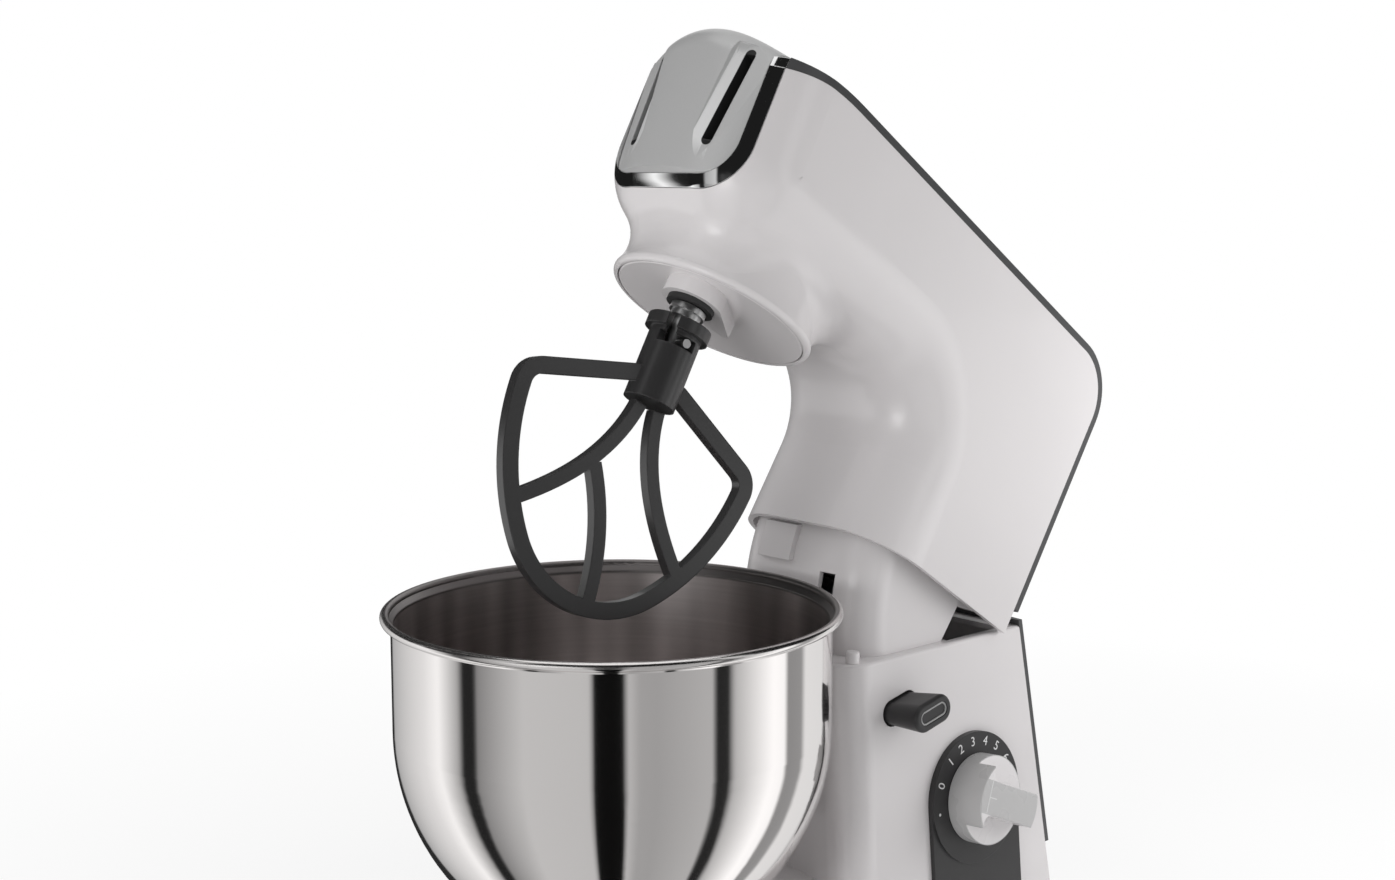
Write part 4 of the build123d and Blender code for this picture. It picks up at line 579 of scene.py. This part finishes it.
def make_button_ring(shape):
    """A racetrack ring of painted highlight on the floor of the recess in the button's end."""
    face = outer_face("release_button", BUTTON_OUT)
    long_axis = Matrix.Rotation(BUTTON_LEAN, 3, BUTTON_OUT) @ RIGHT
    turn = facing_turn((long_axis - BUTTON_OUT * BUTTON_OUT.dot(long_axis)).normalized(), BUTTON_OUT)
    end = BUTTON_RECESS.y / 2 - RING_CLEARANCE
    bmesh.ops.create_circle(shape, cap_ends=True, segments=48, radius=end)
    run = (BUTTON_RECESS.x - BUTTON_RECESS.y) / 2
    for side in (-1, 1):
        half = [vertex for vertex in shape.verts if vertex.co.x * side > 0]
        bmesh.ops.translate(shape, verts=half, vec=(run * side, 0, 0))
    plate = list(shape.faces)
    width = details().ring_width
    ring = bmesh.ops.inset_region(
        shape, faces=plate, thickness=width, use_boundary=True, use_even_offset=True
    )["faces"]
    bmesh.ops.delete(shape, geom=plate, context="FACES")
    bmesh.ops.solidify(shape, geom=ring, thickness=RING_HEIGHT)
    bmesh.ops.recalc_face_normals(shape, faces=shape.faces)
    lowest = min(vertex.co.z for vertex in shape.verts)
    floor = face - BUTTON_OUT * (RECESS_DEPTH + RING_SEAT + lowest)
    bmesh.ops.transform(shape, matrix=Matrix.Translation(floor) @ turn, verts=shape.verts)


class MIXER_OT_drive(bpy.types.Operator):
    """Finishes of the shafts, gears, motor and other inner pieces"""

    bl_idname = "mixer.drive"
    bl_label = "Drive"

    def execute(self, context):
        paint(
            metal("shaft_turned_steel", (0.62, 0.62, 0.62), 0.34, depth=0.005, streak=0.03),
            "tool_shaft", "shaft_collar", "cross_pin", "hinge_pin", "motor_shaft", "pulley_axle",
            "base_screws", "gearbox_screws",
        )
        paint(metal("gear_cut_steel", (0.36, 0.36, 0.37), 0.35), "carrier_gear", "planet_pinion", "ring_gear")
        paint(metal("plate_pressed", (0.55, 0.55, 0.56), 0.4), "gear_plate", "motor_bracket")
        paint(metal("bush_bronze", (0.55, 0.4, 0.2), 0.35), "carrier_bush", "tool_bush", "commutator")
        paint(metal("winding_copper", (0.55, 0.26, 0.12), 0.3, (1, 60, 1), 90.0, 0.4), "motor_windings")
        iron = metal("lamination_iron", (0.2, 0.2, 0.21), 0.45, (1, 1, 40), 120.0, 0.3)
        paint(iron, "motor_stator", "rotor_core")
        paint(
            moulded("inner_dark_plastic", (0.06, 0.06, 0.065), 0.5, depth=0.08),
            "speed_switch", "latch_slider", "motor_end_bell", "pulley_gear", "motor_pulley", "cooling_fan",
            "cord_gland", "bowl_clamp_plate", "base_bottom_plate",
        )
        paint(
            moulded("rubber_black", (0.03, 0.03, 0.03), 0.7, grain=500.0, depth=0.15),
            "rubber_feet", "drive_belt", "shaft_seal", "carbon_brushes",
        )
        paint(moulded("board_green", (0.04, 0.2, 0.09), 0.4, mottle=0.2), "control_board")
        return {"FINISHED"}


class MIXER_OT_tool(bpy.types.Operator):
    """Coating of the flat beater"""

    bl_idname = "mixer.tool"
    bl_label = "Beater"

    def execute(self, context):
        coating = moulded(
            "tool_coating", finishes().tool, 0.3, grain=1600.0, depth=0.1, edge=0.9 * MM,
            Specular_IOR_Level=0.7,
        )
        paint(coating, "flat_beater")
        return {"FINISHED"}


class MIXER_OT_bowl(bpy.types.Operator):
    """Bowl polished outside and brushed inside"""

    bl_idname = "mixer.bowl"
    bl_label = "Bowl"

    def execute(self, context):
        colours = finishes()
        paint(bowl_steel("bowl_steel", colours.bowl_outside, colours.bowl_inside), "bowl")
        paint(metal("bowl_foot_steel", colours.bowl_outside, 0.12, depth=0.01, streak=0.03), "bowl_foot")
        return {"FINISHED"}


# The bowl's wall: straight above the shoulder, an arc about an offset centre below it, and a rolled rim
BOWL_SHOULDER = 142.0 * MM
BOWL_ARC_OFFSET = 8.0 * MM
BOWL_MID_WALL = 113.3 * MM
RIM_LOW = 197.0 * MM
RIM_EDGE = 0.5 * MM
FLARE_LOW = 180.0 * MM
LIP_LOW = 193.0 * MM
LIP_EDGE = 1.0 * MM
INWARD = (0.25, 0.05)

# Its finish: roughness, lay and size of the brush marks and of the upright bands of painted reflection, and
# shares of the inside colour for those bands and for the painted shade on the lip
POLISH = 0.06
RIM_BRUSHED = 0.2
BRUSHED = 0.32
BRUSH_LAY = (1, 1, 60)
BRUSH_SCALE = 12.0
BAND_LAY = (1, 1, 0.08)
BAND_SCALE = 24.0
BAND_RANGE = (0.36, 0.64)
REFLECTION_BAND_SHARES = (0.4, 2.0)
SMEAR_SCALE = 14.0
LIP_SHADE_SHARE = 0.48


def bowl_steel(name, outside, inside):
    """Spun steel: polished outside, satin on the rim, darker inside with brush marks, upright bands of
    painted reflection and painted shade on the lip.
    """
    material, shader, wire, coords = start_material(name)
    across = coords.along(BOWL_AXIS, RIGHT)
    aside = coords.along(BOWL_AXIS, SIDEWAYS)
    height = coords.along(BOWL_AXIS, UP)
    radius = (across * across + aside * aside).root()
    reach = radius + BOWL_ARC_OFFSET
    drop = (height - BOWL_SHOULDER).least(0.0)
    wall = (reach * reach + drop * drop).root().fade(BOWL_MID_WALL, BOWL_MID_WALL - MASK_EDGE)
    rim = height.fade(RIM_LOW, RIM_LOW + RIM_EDGE)
    normal = face_normal(wire)
    facing = [wire.vector("DOT_PRODUCT", normal, axis, "Value") for axis in (RIGHT, SIDEWAYS)]
    outward = (facing[0] * across + facing[1] * aside) / radius
    flare = height.fade(FLARE_LOW, FLARE_LOW + RIM_EDGE)
    inner = wall.most(flare * outward.fade(*INWARD))
    lay = wire.node("ShaderNodeMapping", {}, {"Vector": coords, "Scale": BRUSH_LAY})
    marks = noise(wire, lay, BRUSH_SCALE, 6.0)
    # Upright light and dark bands inside the bowl are painted reflections
    upright = wire.node("ShaderNodeMapping", {}, {"Vector": coords, "Scale": BAND_LAY})
    bands = noise(wire, upright, BAND_SCALE).fade(*BAND_RANGE)
    smear = noise(wire, coords, SMEAR_SCALE)
    bright = blend_colours(wire, smear, shaded(outside, 0.98), shaded(outside, 1.02))
    reflection_dark, light = [shaded(inside, share) for share in REFLECTION_BAND_SHARES]
    brushed = blend_colours(wire, bands * 0.8 + marks * 0.2, reflection_dark, light)
    # The inside of the flare and lip is darkened with painted shade
    lip = height.fade(LIP_LOW, LIP_LOW + LIP_EDGE) * inner
    tint = blend_colours(wire, inner, bright, brushed)
    tint = blend_colours(wire, lip, tint, shaded(inside, LIP_SHADE_SHARE))
    plug(shader, tint, "Base Color")
    satin = (rim * RIM_BRUSHED).most(inner * (marks * 0.1 + BRUSHED))
    plug(shader, satin.most(smear * 0.02 + POLISH), "Roughness")
    bump = {"Height": marks * inner, "Strength": 0.02, "Distance": 0.2 * MM}
    plug(shader, wire.node("ShaderNodeBump", {}, bump), "Normal")
    shader.inputs["Metallic"].default_value = 1.0
    return material


class MIXER_OT_stage(bpy.types.Operator):
    """Pale floor, soft lights, a light tent for the steel to mirror, and the camera"""

    bl_idname = "mixer.stage"
    bl_label = "Stage"

    def execute(self, context):
        scene = context.scene
        scene.view_settings.view_transform = "Standard"
        make_world(scene)
        make_floor()
        make_lamps()
        make_tent()
        make_camera(scene)
        return {"FINISHED"}


def make_camera(scene):
    """A camera at the photograph's viewing angle."""
    data = bpy.data.cameras.new("camera")
    data.lens = CAMERA_LENS
    data.clip_end = 100.0
    camera = bpy.data.objects.new("camera", data)
    scene.collection.objects.link(camera)
    level = Vector((sin(CAMERA_TURN), -cos(CAMERA_TURN), 0))
    back = level * cos(CAMERA_FALL) + UP * sin(CAMERA_FALL)
    right = Vector((cos(CAMERA_TURN), sin(CAMERA_TURN), 0))
    camera.matrix_world = Matrix.Translation(CAMERA_PLACE) @ facing_turn(right, back)
    scene.camera = camera


def seen_directly(wire):
    """1 for camera, glossy and transmission rays, else 0."""
    kinds = ("Is Camera Ray", "Is Glossy Ray", "Is Transmission Ray")
    rays = [wire.node("ShaderNodeLightPath", output=kind) for kind in kinds]
    return (rays[0] + rays[1] + rays[2]).least(1.0)


AMBIENT = 0.54


def make_world(scene):
    """White where it is seen, a soft even light elsewhere."""
    world = bpy.data.worlds.new("studio")
    scene.world = world
    world.use_nodes = True
    tree = world.node_tree
    strength = seen_directly(Wire(tree)) * (1 - AMBIENT) + AMBIENT
    tree.links.new(strength.socket, tree.nodes["Background"].inputs["Strength"])
    tree.nodes["Background"].inputs["Color"].default_value = (1, 1, 1, 1)


FLOOR_HALF = 6.0
FLOOR_COLOUR = (0.88, 0.88, 0.88)
FLOOR_CLOUD_SCALE = 4.0
FLOOR_WHITE_NEAR = 0.8
FLOOR_WHITE_FROM = 0.25
FLOOR_WHITE_TO = 0.75


def make_floor():
    """A pale floor that keeps the soft shadow close by and shows white far off."""
    mesh = bpy.data.meshes.new("floor")
    shape = bmesh.new()
    bmesh.ops.create_grid(shape, x_segments=8, y_segments=8, size=FLOOR_HALF)
    shape.to_mesh(mesh)
    shape.free()
    material, shader, wire, coords = start_material("floor_pale")
    cloud = noise(wire, coords, FLOOR_CLOUD_SCALE)
    tint = blend_colours(wire, cloud, shaded(FLOOR_COLOUR, 0.99), shaded(FLOOR_COLOUR, 1.01))
    plug(shader, tint, "Base Color")
    shader.inputs["Specular IOR Level"].default_value = 0.0
    glow = wire.node("ShaderNodeEmission", {}, {"Color": (1, 1, 1, 1), "Strength": 1.0})
    far = wire.vector("LENGTH", coords, (0, 0, 0), "Value").fade(FLOOR_WHITE_FROM, FLOOR_WHITE_TO)
    share = seen_directly(wire) * (far * (1 - FLOOR_WHITE_NEAR) + FLOOR_WHITE_NEAR)
    lit = Wire(wire.tree, shader.outputs[0])
    mix = wire.node("ShaderNodeMixShader", {}, {0: share, 1: lit, 2: glow})
    wire.tree.links.new(mix.socket, wire.tree.nodes["Material Output"].inputs["Surface"])
    mesh.materials.append(material)
    floor = bpy.data.objects.new("floor", mesh)
    bpy.context.scene.collection.objects.link(floor)


# Each lamp: name, place, aim, size, power and whether glossy surfaces mirror it
LAMPS = (
    ("key_right", (0.42, -0.3, 0.3), (0.14, -0.06, 0.25), 0.35, 1.1, False),
    ("fill_left", (-1.2, -0.35, 0.28), (0.0, 0.0, 0.3), 0.4, 2.7, True),
    ("bounce_low", (-0.95, -0.1, 0.05), (-0.05, 0.0, 0.35), 0.5, 2.2, False),
    ("rim_back", (0.3, 1.4, 0.9), (0.0, 0.0, 0.3), 1.2, 6.0, True),
)


def make_lamps():
    """Soft lamps round the object."""
    for name, place, aim, size, power, mirrored in LAMPS:
        data = bpy.data.lights.new(name, "AREA")
        data.size = size
        data.energy = power
        lamp = bpy.data.objects.new(name, data)
        bpy.context.scene.collection.objects.link(lamp)
        lamp.location = place
        lamp.rotation_euler = (Vector(aim) - Vector(place)).to_track_quat("-Z", "Y").to_euler()
        lamp.visible_camera = False
        lamp.visible_glossy = mirrored


TENT_RADIUS = 0.6
TENT_SEGMENTS = 96
TENT_FLOOR = 0.6 * MM
TENT_SPLIT = 0.3
TENT_TOP = 1.3
TENT_LEVEL = 1.28
FLOOR_DRAW = 0.06

# Panels of the light tent: where one starts and ends, in degrees to the right of the camera's side, and its
# two greys
LOW_PANELS = (
    (-180.0, -150.0, 0.02, 0.02),
    (-147.0, -104.0, 0.35, 0.7),
    (-92.0, -78.0, 0.88, 0.35),
    (-75.0, -68.0, 0.015, 0.015),
    (-66.0, -42.0, 0.22, 0.5),
    (-42.0, -10.5, 0.5, 0.48),
    (-8.5, 5.0, 0.004, 0.004),
    (6.2, 12.0, 0.47, 0.33),
    (20.0, 46.5, 0.32, 0.41),
    (48.5, 55.0, 0.015, 0.02),
    (58.5, 82.0, 0.43, 0.97),
    (90.0, 90.5, 0.92, 0.9),
    (92.5, 104.0, 0.24, 0.27),
    (108.0, 128.0, 0.7, 0.66),
    (140.0, 180.0, 0.1, 0.1),
)
HIGH_PANELS = (
    (-180.0, -174.0, 0.7, 0.7),
    (-170.0, -102.1, 0.01, 0.01),
    (-101.7, -100.9, 0.9, 0.9),
    (-100.4, -68.0, 0.01, 0.01),
    (-63.0, -46.0, 0.35, 0.5),
    (-42.0, 50.0, 0.01, 0.01),
    (53.0, 64.0, 0.6, 0.6),
    (67.0, 135.0, 0.01, 0.01),
    (140.0, 180.0, 0.7, 0.7),
)


def tent_glow(name, panels):
    """Glow of the tent's panels, which fan out a little on its floor."""
    material, shader, wire, coords = start_material(name)
    across = coords.along(BOWL_AXIS, CAMERA_RIGHT)
    toward = coords.along(BOWL_AXIS, CAMERA_SIDE)
    reach = (across * across + toward * toward).root()
    angle = wire.math("ARCTAN2", across, toward) * (FLOOR_DRAW / reach + (1 - FLOOR_DRAW / TENT_RADIUS))
    stops = []
    for start, end, first, last in panels:
        stops += [(start / 360 + 0.5, first), (end / 360 + 0.5, last)]
    grey = wire.node("ShaderNodeValToRGB", {"stops": stops}, {"Fac": angle / tau + 0.5})
    plug(shader, grey, "Emission Color")
    shader.inputs["Base Color"].default_value = (0, 0, 0, 1)
    shader.inputs["Specular IOR Level"].default_value = 0.0
    shader.inputs["Emission Strength"].default_value = TENT_LEVEL
    return material


def tent_piece(name, low, top, floor, panels):
    """Part of the tent, which only mirrored rays see."""
    mesh = bpy.data.meshes.new(name)
    shape = bmesh.new()
    middle = Matrix.Translation(BOWL_AXIS + UP * (low + top) / 2)
    bmesh.ops.create_cone(
        shape, cap_ends=False, segments=TENT_SEGMENTS, radius1=TENT_RADIUS, radius2=TENT_RADIUS,
        depth=top - low, matrix=middle,
    )
    if floor:
        foot = Matrix.Translation(BOWL_AXIS + UP * low)
        bmesh.ops.create_circle(
            shape, cap_ends=True, segments=TENT_SEGMENTS, radius=TENT_RADIUS, matrix=foot
        )
    shape.to_mesh(mesh)
    shape.free()
    mesh.materials.append(tent_glow(name, panels))
    tent = bpy.data.objects.new(name, mesh)
    bpy.context.scene.collection.objects.link(tent)
    tent.visible_camera = False
    tent.visible_diffuse = False
    tent.visible_shadow = False
    tent.visible_transmission = False


def make_tent():
    """Light and dark panels round the object for its steel to mirror."""
    tent_piece("tent_low", TENT_FLOOR, TENT_SPLIT, True, LOW_PANELS)
    tent_piece("tent_high", TENT_SPLIT, TENT_TOP, False, HIGH_PANELS)


class MIXER_PT_panel(bpy.types.Panel):
    """Lists the mixer's steps in the sidebar"""

    bl_idname = "MIXER_PT_panel"
    bl_label = "Stand mixer"
    bl_space_type = "VIEW_3D"
    bl_region_type = "UI"
    bl_category = "Mixer"

    def draw(self, context):
        for step in STEPS:
            self.layout.operator(step.bl_idname)
        for group in (finishes(), details()):
            for name in group.__annotations__:
                self.layout.prop(group, name)


STEPS = (MIXER_OT_body, MIXER_OT_controls, MIXER_OT_drive, MIXER_OT_tool, MIXER_OT_bowl, MIXER_OT_stage)
CLASSES = (MixerFinishes, MixerDetails, *STEPS, MIXER_PT_panel)


def register():
    for cls in CLASSES:
        bpy.utils.register_class(cls)
    bpy.types.Scene.mixer_finishes = PointerProperty(type=MixerFinishes)
    bpy.types.Scene.mixer_details = PointerProperty(type=MixerDetails)


def unregister():
    del bpy.types.Scene.mixer_details
    del bpy.types.Scene.mixer_finishes
    for cls in reversed(CLASSES):
        bpy.utils.unregister_class(cls)


def main():
    register()
    for step in STEPS:
        group, name = step.bl_idname.split(".")
        getattr(getattr(bpy.ops, group), name)()


if __name__ == "__main__":
    main()
